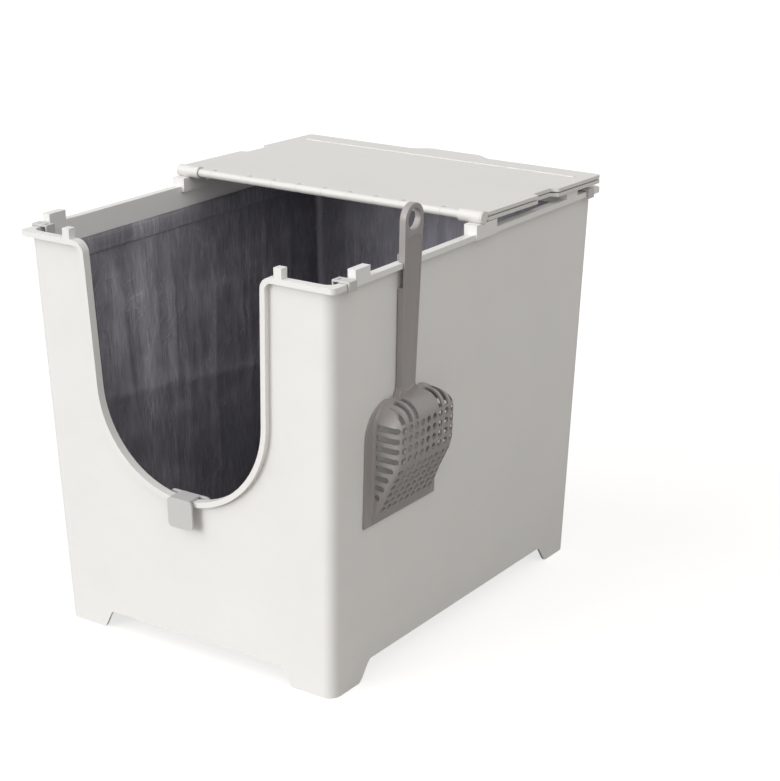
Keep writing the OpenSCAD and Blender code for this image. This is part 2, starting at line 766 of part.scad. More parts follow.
module strap(side, end) {
  x = half_w(liner_top - hem_h) - wall - strap_in;
  y = end * (rim_y - clip_in);
  translate([side > 0 ? x - cloth_t : -x, y - strap_w / 2, liner_top - hem_h])
    cube([cloth_t, strap_w, liner_drop + hem_h - 1]);
}
module strap_front_left() color(cloth_grey) strap(-1, -1);
module strap_front_right() color(cloth_grey) strap(1, -1);
module strap_rear_left() color(cloth_grey) strap(-1, 1);
module strap_rear_right() color(cloth_grey) strap(1, 1);

// ---- Clips ----
module corner_clip(side, end) {
  x0 = half_w(liner_top - hem_h) - wall - strap_in - cloth_t - layer_gap - clip_t;
  x1 = rim_x + clip_gap + clip_t;
  top = bin_h + seat_gap + clip_t;
  slot_l = clip_w - 6;
  mirror([side > 0 ? 0 : 1, 0, 0])
    translate([0, end * (rim_y - clip_in) - clip_w / 2, 0])
      difference() {
        union() {
          translate([x0, 0, bin_h + seat_gap]) cube([x1 - x0, clip_w, clip_t]);
          translate([x0, 0, top - clip_inner_leg]) cube([clip_t, clip_w, clip_inner_leg]);
          translate([x1 - clip_t, 0, top - clip_leg]) cube([clip_t, clip_w, clip_leg]);
        }
        translate([x0 + 2 * clip_t, (clip_w - slot_l) / 2, bin_h])
          cube([2, slot_l, over]);
      }
}
module clip_front_left() color(clip_grey) corner_clip(-1, -1);
module clip_front_right() color(clip_grey) corner_clip(1, -1);
module clip_rear_left() color(clip_grey) corner_clip(-1, 1);
module clip_rear_right() color(clip_grey) corner_clip(1, 1);

module front_clip() color(clip_grey) on_front_wall() {
  sag = entry_r - sqrt(entry_r * entry_r - saddle_w * saddle_w / 4);
  saddle_y = entry_low + sag + seat_gap;
  top = saddle_y + clip_t;
  plate_z = rim_out + clip_stand;
  leaf_z = -wall - hem_in - cloth_t - layer_gap - clip_t;
  plate_r = 5;
  translate([0, top - clip_plate_h / 2, plate_z]) linear_extrude(clip_t)
    round_rect(clip_plate_w, clip_plate_h, plate_r);
  translate([-saddle_w / 2, saddle_y, leaf_z])
    cube([saddle_w, clip_t, plate_z + clip_t - leaf_z]);
  translate([0, top - clip_leaf_h / 2, leaf_z]) linear_extrude(clip_t)
    round_rect(clip_leaf_w, clip_leaf_h, plate_r);
  translate([-clip_plate_w / 2 + plate_r, top - clip_plate_h, rim_out + seat_gap])
    cube([clip_plate_w - 2 * plate_r, clip_t, clip_stand]);
}

placed() bin_shell();
placed() liner_floor();
placed() liner_left();
placed() liner_right();
placed() liner_rear();
placed() liner_front();
placed() liner_hem();
placed() liner_entry_binding();
placed() strap_front_left();
placed() strap_front_right();
placed() strap_rear_left();
placed() strap_rear_right();
placed() clip_front_left();
placed() clip_front_right();
placed() clip_rear_left();
placed() clip_rear_right();
placed() front_clip();
placed() lid_rear_leaf();
placed() lid_front_leaf();
placed() hinge_rod();
placed() hinge_cap_left();
placed() hinge_cap_right();
placed() scoop();
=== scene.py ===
"""Looks of the litter box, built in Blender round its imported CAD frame.

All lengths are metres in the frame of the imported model. The entry faces -Y,
the scoop hangs on the +X wall and +Z is up. Sizes named in millimetres are
multiplied by MM where they are used.
"""

import json
import logging
import math
from collections.abc import Callable, Iterable, Iterator, Sequence
from contextlib import contextmanager
from dataclasses import dataclass, field
from enum import Enum

import bmesh
import bpy
import numpy as np
from mathutils import Matrix, Vector, noise

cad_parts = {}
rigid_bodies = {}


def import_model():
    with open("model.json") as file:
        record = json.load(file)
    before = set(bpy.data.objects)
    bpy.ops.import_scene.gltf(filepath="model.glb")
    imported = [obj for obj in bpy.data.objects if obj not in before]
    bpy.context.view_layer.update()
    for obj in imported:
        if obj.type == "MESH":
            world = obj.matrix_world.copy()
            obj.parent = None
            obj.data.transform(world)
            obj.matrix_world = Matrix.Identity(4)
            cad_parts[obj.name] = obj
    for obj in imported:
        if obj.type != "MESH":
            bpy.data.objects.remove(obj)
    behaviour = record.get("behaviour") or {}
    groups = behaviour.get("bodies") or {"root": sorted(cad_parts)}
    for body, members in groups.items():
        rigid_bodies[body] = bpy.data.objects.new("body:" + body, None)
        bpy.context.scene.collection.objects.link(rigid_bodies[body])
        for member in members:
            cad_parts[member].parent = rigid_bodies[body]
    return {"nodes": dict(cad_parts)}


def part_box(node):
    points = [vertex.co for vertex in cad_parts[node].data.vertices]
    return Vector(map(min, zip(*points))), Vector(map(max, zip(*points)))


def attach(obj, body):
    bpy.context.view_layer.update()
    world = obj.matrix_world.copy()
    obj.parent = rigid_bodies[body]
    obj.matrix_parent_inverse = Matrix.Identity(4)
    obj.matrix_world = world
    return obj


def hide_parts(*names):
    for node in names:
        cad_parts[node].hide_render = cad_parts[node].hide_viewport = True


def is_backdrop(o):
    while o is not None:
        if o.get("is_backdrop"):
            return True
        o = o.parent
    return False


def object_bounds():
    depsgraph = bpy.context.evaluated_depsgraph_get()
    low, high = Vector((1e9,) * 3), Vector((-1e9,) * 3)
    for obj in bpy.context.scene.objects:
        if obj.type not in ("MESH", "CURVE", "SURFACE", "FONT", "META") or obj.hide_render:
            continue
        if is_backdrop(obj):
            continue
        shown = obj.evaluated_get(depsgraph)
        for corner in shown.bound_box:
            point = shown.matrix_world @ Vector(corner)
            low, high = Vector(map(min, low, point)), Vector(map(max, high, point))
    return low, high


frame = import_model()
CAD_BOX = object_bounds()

LOG = logging.getLogger("litter_box")
MM = 0.001
CORNERS = ("front_left", "front_right", "rear_left", "rear_right")
Colour = tuple[float, float, float]
Points = list[tuple[float, float]]


# ---------------------------------------------------------------- materials


def new_node(tree: bpy.types.NodeTree, kind: str, settings: dict | None) -> bpy.types.Node:
    """Adds a node and sets its attributes, before its sockets are used."""
    node = tree.nodes.new(kind)
    for name, value in (settings or {}).items():
        setattr(node, name, value)
    return node


def feed(tree: bpy.types.NodeTree, target: bpy.types.NodeSocket, value: object) -> None:
    """Links a socket to another socket, or sets its value."""
    if isinstance(value, bpy.types.NodeSocket):
        tree.links.new(value, target)
    else:
        target.default_value = value


class Sock:
    """A number socket; an operator on it adds a Math node to its graph."""

    def __init__(self, graph: "Graph", socket: bpy.types.NodeSocket) -> None:
        """Keeps the socket and the graph that it belongs to."""
        self.graph = graph
        self.socket = socket

    def _math(self, operation: str, *values: "Sock | float") -> "Sock":
        """Adds one Math node on these values."""
        inputs = dict(enumerate(values))
        return self.graph.add("ShaderNodeMath", {"operation": operation}, inputs)

    def __add__(self, other: "Sock | float") -> "Sock":
        """This value plus another."""
        return self._math("ADD", self, other)

    __radd__ = __add__

    def __sub__(self, other: "Sock | float") -> "Sock":
        """This value minus another."""
        return self._math("SUBTRACT", self, other)

    def __rsub__(self, other: float) -> "Sock":
        """A number minus this value."""
        return self._math("SUBTRACT", other, self)

    def __mul__(self, other: "Sock | float") -> "Sock":
        """This value times another."""
        return self._math("MULTIPLY", self, other)

    __rmul__ = __mul__

    def wave(self) -> "Sock":
        """The sine of this value."""
        return self._math("SINE", self)

    def size(self) -> "Sock":
        """This value without its sign."""
        return self._math("ABSOLUTE", self)

    def ramp(self, low: float, high: float) -> "Sock":
        """This value carried from the range low..high to 0..1, and kept there."""
        inputs = {"Value": self, "From Min": low, "From Max": high}
        return self.graph.add("ShaderNodeMapRange", {"clamp": True}, inputs)


class Graph:
    """A material's node tree with its Principled shader."""

    def __init__(self, name: str) -> None:
        """Makes the material and its two fixed nodes."""
        self.material = bpy.data.materials.new(name)
        self.material.use_nodes = True
        self.tree = self.material.node_tree
        self.tree.nodes.clear()
        self.output = self.tree.nodes.new("ShaderNodeOutputMaterial")
        self.shader = self.tree.nodes.new("ShaderNodeBsdfPrincipled")
        self.tree.links.new(self.shader.outputs[0], self.output.inputs["Surface"])

    def add(self, kind: str, settings: dict | None = None, inputs: dict | None = None) -> Sock:
        """Adds a node.

        Args:
            kind: The node's Blender type.
            settings: Attributes set on the node before its sockets.
            inputs: Socket name or number to a value or another socket.

        Returns:
            The node's first shown output.
        """
        node = new_node(self.tree, kind, settings)
        for key, value in (inputs or {}).items():
            self.feed(node.inputs[key], value)
        return Sock(self, next(s for s in node.outputs if s.enabled))

    def feed(self, target: bpy.types.NodeSocket, value: object) -> None:
        """Links a socket to a Sock, or sets its value."""
        feed(self.tree, target, value.socket if isinstance(value, Sock) else value)

    def place(self, source: str = "Object") -> Sock:
        """Texture coordinates of the piece itself."""
        return self.pick(self.add("ShaderNodeTexCoord"), source)

    def pick(self, of: Sock, name: str) -> Sock:
        """Another output of the node that a socket belongs to."""
        return Sock(self, of.socket.node.outputs[name])

    def x_of(self, at: Sock) -> Sock:
        """The X of a vector, from a node whose Y and Z can be picked."""
        return self.add("ShaderNodeSeparateXYZ", None, {0: at})

    def scaled(self, at: Sock, scale: Sequence[float]) -> Sock:
        """Coordinates times these factors."""
        return self.add("ShaderNodeMapping", None, {"Vector": at, "Scale": scale})

    def noise(self, at: Sock, feature: float, detail: float = 3.0, rough: float = 0.55) -> Sock:
        """Noise whose blobs are about feature metres across."""
        inputs = {"Vector": at, "Scale": 1.0 / feature, "Detail": detail, "Roughness": rough}
        return self.add("ShaderNodeTexNoise", None, inputs)

    def blend(self, share: Sock, low: Colour, high: Colour) -> Sock:
        """A colour between two, by a 0..1 share."""
        node = self.add("ShaderNodeMix", {"data_type": "RGBA"}).socket.node
        self.feed(node.inputs[0], share)
        self.feed(node.inputs[6], (*low, 1.0))
        self.feed(node.inputs[7], (*high, 1.0))
        return Sock(self, node.outputs[2])

    def bump(self, height: Sock, depth: float, strength: float = 1.0) -> Sock:
        """A bumped normal from a height whose 0..1 is depth metres."""
        inputs = {"Height": height, "Distance": depth, "Strength": strength}
        return self.add("ShaderNodeBump", None, inputs)

    def surface(self, **inputs: object) -> bpy.types.Material:
        """Feeds the shader's sockets, named with _ for a space."""
        for name, value in inputs.items():
            self.feed(self.shader.inputs[name.replace("_", " ")], value)
        return self.material


def shade(colour: Colour, by: float) -> Colour:
    """A colour made lighter or darker by a factor."""
    return tuple(min(1.0, c * by) for c in colour)


@dataclass(frozen=True)
class Moulded:
    """Injection-moulded plastic: a fine spark-eroded grain and faint flow clouds."""

    name: str
    colour: Colour
    roughness: float = 0.42
    cloud: float = 0.02
    grain: float = 0.9 * MM
    depth: float = 0.05 * MM

    def material(self) -> bpy.types.Material:
        """Builds the material."""
        g = Graph(self.name)
        at = g.place()
        cloud = g.noise(at, 0.09, 4.0)
        grain = g.noise(at, self.grain, 2.0)
        smear = g.noise(at, 0.012, 5.0, 0.7)
        tone = (cloud * 0.7 + smear * 0.3).ramp(0.3, 0.7)
        dull, bright = (shade(self.colour, by) for by in (1 - self.cloud, 1 + self.cloud))
        return g.surface(
            Base_Color=g.blend(tone, dull, bright),
            Roughness=smear.ramp(0.25, 0.75) * 0.08 + (self.roughness - 0.04),
            Normal=g.bump(grain * 0.6 + smear * 0.4, self.depth),
            IOR=1.49,
        )


@dataclass(frozen=True)
class CoatedCloth:
    """Woven cloth with a thin coating: upright streaks and crease lines painted as the light and shade
    of its pleats and creases, crinkles, painted shade below a packing crease, and painted light on a
    strip of the left wall and on the back wall.

    The mesh carries UVs in metres and a crest attribute, 0 in the valleys of its folds, 1 on their tops
    and more down the bag's upright corners; the colour is lightened where it is high, a painted
    highlight.
    """

    name: str
    dark: Colour
    light: Colour
    crease_z: float
    crease_fall: float
    painted_light_back_y: float = 238 * MM
    painted_strip_y: float = -88 * MM
    painted_strip_reach: float = 30 * MM
    roughness: float = 0.46
    thread: float = 1.1 * MM

    def streaks(self, g: Graph, feature: float, stretch: float) -> Sock:
        """Noise drawn out upright, as 0..1."""
        drawn = g.scaled(g.place("UV"), (1, stretch, 1))
        return g.noise(drawn, feature, 4.0, 0.6).ramp(0.34, 0.66)

    def creases(self, g: Graph, feature: float, turn: float, width: float) -> Sock:
        """Thin broken crease lines that run at an angle to the upright, as 0..1."""
        angled = {"Vector": g.place("UV"), "Angle": turn}
        turned = g.add("ShaderNodeVectorRotate", {"rotation_type": "Z_AXIS"}, angled)
        drawn = g.scaled(turned, (1, 0.3, 1))
        line = 1 - (g.noise(drawn, feature, 3.0, 0.6) * 2 - 1).size().ramp(0.0, width)
        return line * g.noise(drawn, feature * 0.8, 1.0).ramp(0.5, 0.6)

    def material(self) -> bpy.types.Material:
        """Builds the material; its bare numbers are the layers' shares."""
        g = Graph(self.name)
        at = g.place()
        split = g.x_of(at)
        uv = g.x_of(g.place("UV"))
        turn = 2 * math.pi / self.thread
        weave = (uv * turn).wave() * (g.pick(uv, "Y") * turn).wave()
        # The crest height paints a highlight on the fold tops and down the corners, and lowers the
        # roughness there.
        crest_highlight = g.pick(g.add("ShaderNodeAttribute", {"attribute_name": "crest_highlight"}), "Fac")
        busy = g.noise(at, 0.085, 2.0).ramp(0.40, 0.60)
        # The upright streaks lighten and darken the colour as painted light and shade of fine pleats.
        thin = self.streaks(g, 1.9 * MM, 0.07)
        broad = self.streaks(g, 9 * MM, 0.22)
        soft = g.noise(at, 0.06, 3.0).ramp(0.3, 0.7)
        # The crease lines lighten the colour as a painted highlight along the creases; they also bump
        # the surface.
        crease = self.creases(g, 21 * MM, 0.10, 0.035)
        slant = self.creases(g, 40 * MM, -0.8, 0.03)
        depth = g.pick(split, "Y")
        # Painted shade: the tone is darkened below the packing crease.
        above = (g.pick(split, "Z") + depth * self.crease_fall - self.crease_z).ramp(-5 * MM, 3 * MM)
        # Painted highlight: a lighter upright strip on the left wall, where the cloth catches the light.
        painted_strip = 1 - ((depth - self.painted_strip_y) * (1 / self.painted_strip_reach)).size().ramp(0.35, 1.0)
        # Painted light: the cloth of the back wall, under the lid, is made lighter.
        back = (depth - self.painted_light_back_y).ramp(0.0, 6 * MM)
        tone = (
            thin * (busy * 0.26 + 0.12) + broad * 0.11 + crest_highlight * 0.30
            + soft * 0.16 + crease * 0.18 + slant * 0.14
        )
        tone = (tone + painted_strip * (thin * 0.24 + 0.1) + back * 0.34 + 0.03) * (above * 0.26 + 0.74)
        height = weave * 0.03 + thin * (busy * 0.3 + 0.1) + broad * 0.4 + crease * 0.5 + slant * 0.4
        return g.surface(
            Base_Color=g.blend(tone.ramp(0.06, 0.94), self.dark, self.light),
            Roughness=(1 - crest_highlight) * 0.14 + soft * 0.1 + (self.roughness - 0.12),
            Normal=g.bump(height, 1.3 * MM, 0.8),
            IOR=1.5,
        )


@dataclass(frozen=True)
class Webbing:
    """Woven tape and thread: ribs across its own UV map."""

    name: str
    colour: Colour
    rib: float = 1.2 * MM

    def material(self) -> bpy.types.Material:
        """Builds the material."""
        g = Graph(self.name)
        split = g.x_of(g.place("UV"))
        ribs = (split * (2 * math.pi / self.rib)).wave() * 0.5 + 0.5
        fuzz = g.noise(g.place(), 1.5 * MM, 4.0, 0.7)
        return g.surface(
            Base_Color=g.blend(fuzz.ramp(0.3, 0.7), shade(self.colour, 0.8), shade(self.colour, 1.25)),
            Roughness=fuzz * 0.15 + 0.62,
            Normal=g.bump(ribs * 0.6 + fuzz * 0.4, 0.25 * MM),
        )


@dataclass(frozen=True)
class DrawnWire:
    """Steel wire with fine lines along its length."""

    name: str
    colour: Colour

    def material(self) -> bpy.types.Material:
        """Builds the material."""
        g = Graph(self.name)
        stretch = g.scaled(g.place(), (0.02, 1, 1))
        lines = g.noise(stretch, 0.3 * MM, 3.0)
        return g.surface(
            Base_Color=g.blend(lines, shade(self.colour, 0.85), shade(self.colour, 1.1)),
            Metallic=1.0,
            Roughness=lines * 0.15 + 0.25,
            Normal=g.bump(lines, 0.02 * MM),
        )


class Finish(Enum):
    """The finishes of the object."""

    SHELL = Moulded("shell_white", (0.80, 0.792, 0.773), 0.4)
    LID = Moulded("lid_white", (0.705, 0.693, 0.666), 0.43, 0.018)
    CLIP = Moulded("clip_grey", (0.55, 0.55, 0.54), 0.38)
    SCOOP = Moulded("scoop_grey", (0.35, 0.326, 0.322), 0.38, 0.03)
    LINER = CoatedCloth("liner_cloth", (0.128, 0.123, 0.140), (0.515, 0.503, 0.567), 0.2191, 0.115)
    TAPE = Webbing("liner_tape", (0.085, 0.08, 0.09))
    THREAD = Webbing("thread", (0.36, 0.35, 0.37), 0.5 * MM)
    ROD = DrawnWire("rod_steel", (0.62, 0.62, 0.63))

    def get(self) -> bpy.types.Material:
        """The finish's material, made once."""
        return bpy.data.materials.get(self.value.name) or self.value.material()


# ------------------------------------------------------------------- meshes


def new_object(name: str, mesh: bpy.types.Mesh) -> bpy.types.Object:
    """Links a mesh to the scene as an object."""
    obj = bpy.data.objects.new(name, mesh)
    bpy.context.scene.collection.objects.link(obj)
    return obj


@contextmanager
def edited(mesh: bpy.types.Mesh) -> Iterator[bmesh.types.BMesh]:
    """Opens a mesh for editing and writes it back at the end."""
    bm = bmesh.new()
    bm.from_mesh(mesh)
    yield bm
    bm.to_mesh(mesh)
    bm.free()


def from_data(name: str, points: Iterable, faces: Iterable) -> bpy.types.Object:
    """An object from plain lists, its normals turned outward."""
    mesh = bpy.data.meshes.new(name)
    mesh.from_pydata([tuple(p) for p in points], [], [tuple(f) for f in faces])
    with edited(mesh) as bm:
        bmesh.ops.recalc_face_normals(bm, faces=bm.faces)
    return new_object(name, mesh)


def discard(obj: bpy.types.Object) -> None:
    """Removes an object and its mesh."""
    mesh = obj.data
    bpy.data.objects.remove(obj)
    if mesh is not None and mesh.users == 0:
        bpy.data.meshes.remove(mesh)


def settle(obj: bpy.types.Object) -> bpy.types.Object:
    """Applies an object's modifiers to its mesh."""
    bpy.context.view_layer.update()
    graph = bpy.context.evaluated_depsgraph_get()
    mesh = bpy.data.meshes.new_from_object(obj.evaluated_get(graph))
    old = obj.data
    obj.modifiers.clear()
    obj.data = mesh
    mesh.name = obj.name
    if old.users == 0:
        bpy.data.meshes.remove(old)
    return obj


def modify(obj: bpy.types.Object, kind: str, **settings: object) -> bpy.types.Object:
    """Adds one modifier with these settings and applies it."""
    modifier = obj.modifiers.new(kind.lower(), kind)
    for name, value in settings.items():
        setattr(modifier, name, value)
    return settle(obj)


def carve(base: bpy.types.Object, tool: bpy.types.Object, how: str = "DIFFERENCE") -> bpy.types.Object:
    """Cuts or joins another solid, which is then discarded."""
    modify(base, "BOOLEAN", operation=how, object=tool, solver="EXACT")
    discard(tool)
    return base


def tidy(obj: bpy.types.Object, weld: float = 2e-5, flat: float = 0.6) -> bpy.types.Object:
    """Welds a mesh's points and dissolves the edges inside its flats.

    Args:
        obj: The object whose mesh is changed.
        weld: Distance under which points become one.
        flat: Largest angle in degrees that still counts as flat.
    """
    with edited(obj.data) as bm:
        bmesh.ops.remove_doubles(bm, verts=bm.verts, dist=weld)
        bmesh.ops.dissolve_degenerate(bm, edges=bm.edges, dist=weld)
        bmesh.ops.dissolve_limit(bm, angle_limit=math.radians(flat), verts=bm.verts, edges=bm.edges)
        bmesh.ops.recalc_face_normals(bm, faces=bm.faces)
    return obj


Radius = Callable[[Vector, Vector, bool], float]


def round_edges(
    obj: bpy.types.Object, radius: Radius, steps: int = 3, sharp: float = 24
) -> bpy.types.Object:
    """Rounds the edges of a tidied solid.

    Args:
        obj: The object whose mesh is changed.
        radius: Gives an edge's radius from its two ends and whether it sticks out.
        steps: Faces across each rounding.
        sharp: Smallest fold in degrees that is rounded.
    """
    bm = bmesh.new()
    bm.from_mesh(obj.data)
    found = {}
    for edge in bm.edges:
        if len(edge.link_faces) == 2 and edge.calc_face_angle(0.0) > math.radians(sharp):
            a, b = (v.co for v in edge.verts)
            value = radius(a, b, edge.calc_face_angle_signed(0.0) > 0)
            if value > 0:
                found[edge.index] = value
    bm.free()
    if not found:
        return obj
    widest = max(found.values())
    layer = obj.data.attributes.new("bevel_weight_edge", "FLOAT", "EDGE")
    for index, value in found.items():
        layer.data[index].value = value / widest
    return modify(
        obj, "BEVEL", limit_method="WEIGHT", width=widest, segments=steps,
        use_clamp_overlap=True, miter_outer="MITER_ARC",
    )


def smooth(obj: bpy.types.Object, angle: float = 35, by_area: bool = False) -> bpy.types.Object:
    """Shades smooth, but for folds sharper than an angle in degrees.

    Args:
        obj: The object whose mesh is shaded.
        angle: Folds sharper than this stay sharp.
        by_area: Whether wide faces keep their own direction up to their edges.
    """
    obj.data.shade_smooth()
    with edited(obj.data) as bm:
        for edge in bm.edges:
            folded = edge.calc_face_angle(0.0) if len(edge.link_faces) == 2 else math.pi
            edge.smooth = folded < math.radians(angle)
    if by_area:
        modify(obj, "WEIGHTED_NORMAL", mode="FACE_AREA", weight=60, keep_sharp=True)
    return obj


def metric_uv(obj: bpy.types.Object) -> None:
    """Gives each face UVs in metres, laid on the axis plane that it faces most."""
    mesh = obj.data
    layer = mesh.uv_layers.active or mesh.uv_layers.new(name="UVMap")
    for face in mesh.polygons:
        n = [abs(c) for c in face.normal]
        drop = n.index(max(n))
        keep = [i for i in range(3) if i != drop]
        for loop in face.loop_indices:
            co = mesh.vertices[mesh.loops[loop].vertex_index].co
            layer.data[loop].uv = (co[keep[0]], co[keep[1]])


def prism(plan: Points, low: float, high: float) -> bpy.types.Object:
    """A solid whose plan lies in x, y and that stands from low to high."""
    n = len(plan)
    points = [(x, y, z) for z in (low, high) for x, y in plan]
    faces = [tuple(range(n)), tuple(range(n, 2 * n))]
    faces += [(i, (i + 1) % n, n + (i + 1) % n, n + i) for i in range(n)]
    return from_data("prism", points, faces)


def block(low: Sequence[float], high: Sequence[float]) -> bpy.types.Object:
    """A box between two corners."""
    plan = [(low[0], low[1]), (high[0], low[1]), (high[0], high[1]), (low[0], high[1])]
    return prism(plan, low[2], high[2])


def circle(radius: float, centre: Sequence[float] = (0, 0), steps: int = 48) -> Points:
    """Points round a circle."""
    turn = [2 * math.pi * i / steps for i in range(steps)]
    return [(centre[0] + radius * math.cos(t), centre[1] + radius * math.sin(t)) for t in turn]


def placed(obj: bpy.types.Object, matrix: Matrix) -> bpy.types.Object:
    """Moves an object's mesh by a matrix, its object staying at the origin."""
    obj.data.transform(matrix)
    if matrix.determinant() < 0:
        obj.data.flip_normals()
    obj.data.update()
    return obj


def plan_on_yz() -> Matrix:
    """Takes a plan's x and y to y and z, and its height to x."""
    return Matrix(((0, 0, 1, 0), (1, 0, 0, 0), (0, 1, 0, 0), (0, 0, 0, 1)))


def plan_on_xz(side: int = 1) -> Matrix:
    """Takes a plan's x and y to x and z, and its height to y on one side."""
    return Matrix(((1, 0, 0, 0), (0, 0, side, 0), (0, 1, 0, 0), (0, 0, 0, 1)))


def loft(name: str, rings: Sequence[Sequence], closed: bool, ends: bool) -> bpy.types.Object:
    """A skin over rings of points.

    Args:
        name: Name of the object.
        rings: Rows of points, each row as long as the others.
        closed: Whether each row joins back to its own start.
        ends: Whether the first and last rows are capped.
    """
    n = len(rings[0])
    points = [p for ring in rings for p in ring]
    last = n if closed else n - 1
    faces = []
    for j in range(len(rings) - 1):
        for i in range(last):
            k = (i + 1) % n
            faces.append((j * n + i, j * n + k, (j + 1) * n + k, (j + 1) * n + i))
    if ends:
        faces.append(tuple(range(n)))
        faces.append(tuple((len(rings) - 1) * n + i for i in range(n)))
    return from_data(name, points, faces)


def s_run(a: Sequence[float], b: Sequence[float], steps: int) -> Points:
    """A soft S from one point to another, level at both ends."""
    rise = [b[0] - a[0], b[1] - a[1]]
    turns = [i / steps for i in range(steps + 1)]
    return [(a[0] + rise[0] * t, a[1] + rise[1] * t * t * (3 - 2 * t)) for t in turns]


class NodeTool:
    """A geometry tree with named inputs, run once on an object's mesh."""

    def __init__(self, name: str, **inputs: str) -> None:
        """Starts a tree whose inputs are given as name=socket type."""
        self.tree = bpy.data.node_groups.new(name, "GeometryNodeTree")
        face = self.tree.interface
        face.new_socket("Geometry", in_out="INPUT", socket_type="NodeSocketGeometry")
        self.ids = {}
        for key, kind in inputs.items():
            self.ids[key] = face.new_socket(key, in_out="INPUT", socket_type=kind).identifier
        face.new_socket("Geometry", in_out="OUTPUT", socket_type="NodeSocketGeometry")
        self.source = self.tree.nodes.new("NodeGroupInput")
        self.result = self.tree.nodes.new("NodeGroupOutput")

    def add(self, kind: str, settings: dict | None = None, inputs: dict | None = None) -> bpy.types.Node:
        """Adds a node; an input may be a value, a socket or the name of a tree input."""
        node = new_node(self.tree, kind, settings)
        for key, value in (inputs or {}).items():
            named = isinstance(value, str)
            feed(self.tree, node.inputs[key], self.source.outputs[value] if named else value)
        return node

    def close(self, geometry: bpy.types.NodeSocket) -> None:
        """Realizes the instances, sets their material and ends the tree."""
        real = self.add("GeometryNodeRealizeInstances", None, {0: geometry})
        paint = self.add("GeometryNodeSetMaterial", None, {0: real.outputs[0], "Material": "Material"})
        self.tree.links.new(paint.outputs[0], self.result.inputs[0])

    def run(self, obj: bpy.types.Object, **values: object) -> bpy.types.Object:
        """Runs the tree on an object with these input values and keeps the mesh."""
        modifier = obj.modifiers.new("nodes", "NODES")
        modifier.node_group = self.tree
        for key, value in values.items():
            modifier[self.ids[key]] = value
        return settle(obj)


def punch_tool() -> NodeTool:
    """A field of round or oval punches standing on a grid in x, y."""
    tool = NodeTool(
        "punch_field", Columns="NodeSocketInt", Rows="NodeSocketInt", Pitch_X="NodeSocketFloat",
        Pitch_Y="NodeSocketFloat", Radius="NodeSocketFloat", Depth="NodeSocketFloat",
        Stretch="NodeSocketVector", Material="NodeSocketMaterial",
    )
    spans = []
    for count, pitch in (("Columns", "Pitch_X"), ("Rows", "Pitch_Y")):
        gaps = tool.add("ShaderNodeMath", {"operation": "SUBTRACT"}, {0: count, 1: 1.0})
        whole = tool.add("ShaderNodeMath", {"operation": "MULTIPLY"}, {0: gaps.outputs[0], 1: pitch})
        spans.append(whole.outputs[0])
    grid = tool.add("GeometryNodeMeshGrid", None, {
        "Size X": spans[0], "Size Y": spans[1], "Vertices X": "Columns", "Vertices Y": "Rows",
    })
    punch = tool.add("GeometryNodeMeshCylinder", None, {
        "Vertices": 20, "Radius": "Radius", "Depth": "Depth",
    })
    laid = tool.add("GeometryNodeInstanceOnPoints", None, {
        "Points": grid.outputs[0], "Instance": punch.outputs[0], "Scale": "Stretch",
    })
    tool.close(laid.outputs[0])
    return tool


def stitch_tool() -> NodeTool:
    """Short stitches laid end to end along every edge path of a mesh."""
    tool = NodeTool(
        "stitches", Pitch="NodeSocketFloat", Length="NodeSocketFloat", Thickness="NodeSocketFloat",
        Material="NodeSocketMaterial",
    )
    path = tool.add("GeometryNodeMeshToCurve", None, {0: "Geometry"})
    steps = tool.add("GeometryNodeResampleCurve", {"mode": "LENGTH"}, {
        0: path.outputs[0], "Length": "Pitch",
    })
    along = tool.add("GeometryNodeInputTangent")
    turn = tool.add("FunctionNodeAlignRotationToVector", {"axis": "Z"}, {"Vector": along.outputs[0]})
    thread = tool.add("GeometryNodeMeshCylinder", None, {
        "Vertices": 6, "Radius": "Thickness", "Depth": "Length", "Side Segments": 2,
    })
    laid = tool.add("GeometryNodeInstanceOnPoints", None, {
        "Points": steps.outputs[0], "Instance": thread.outputs[0], "Rotation": turn.outputs[0],
    })
    tool.close(laid.outputs[0])
    return tool


# ------------------------------------------------------------------- pieces


def finish_piece(
    obj: bpy.types.Object, body: str, finish: Finish, nodes: Sequence[str] = ()
) -> bpy.types.Object:
    """Dresses a piece and ties it to the frame.

    Args:
        obj: The finished mesh.
        body: The CAD body that it rides on.
        finish: Its finish.
        nodes: CAD nodes that it stands for.
    """
    obj.data.materials.clear()
    obj.data.materials.append(finish.get())
    if not obj.data.uv_layers:
        metric_uv(obj)
    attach(obj, body)
    if nodes:
        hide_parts(*nodes)
    LOG.info("%s: %d faces on %s", obj.name, len(obj.data.polygons), body)
    return obj


def cad_copy(node: str, name: str, radius: Radius | float) -> bpy.types.Object:
    """A CAD node's solid with its edges rounded."""
    obj = tidy(new_object(name, frame["nodes"][node].data.copy()))
    round_edges(obj, radius if callable(radius) else (lambda a, b, out: radius))
    return smooth(obj, 35, True)


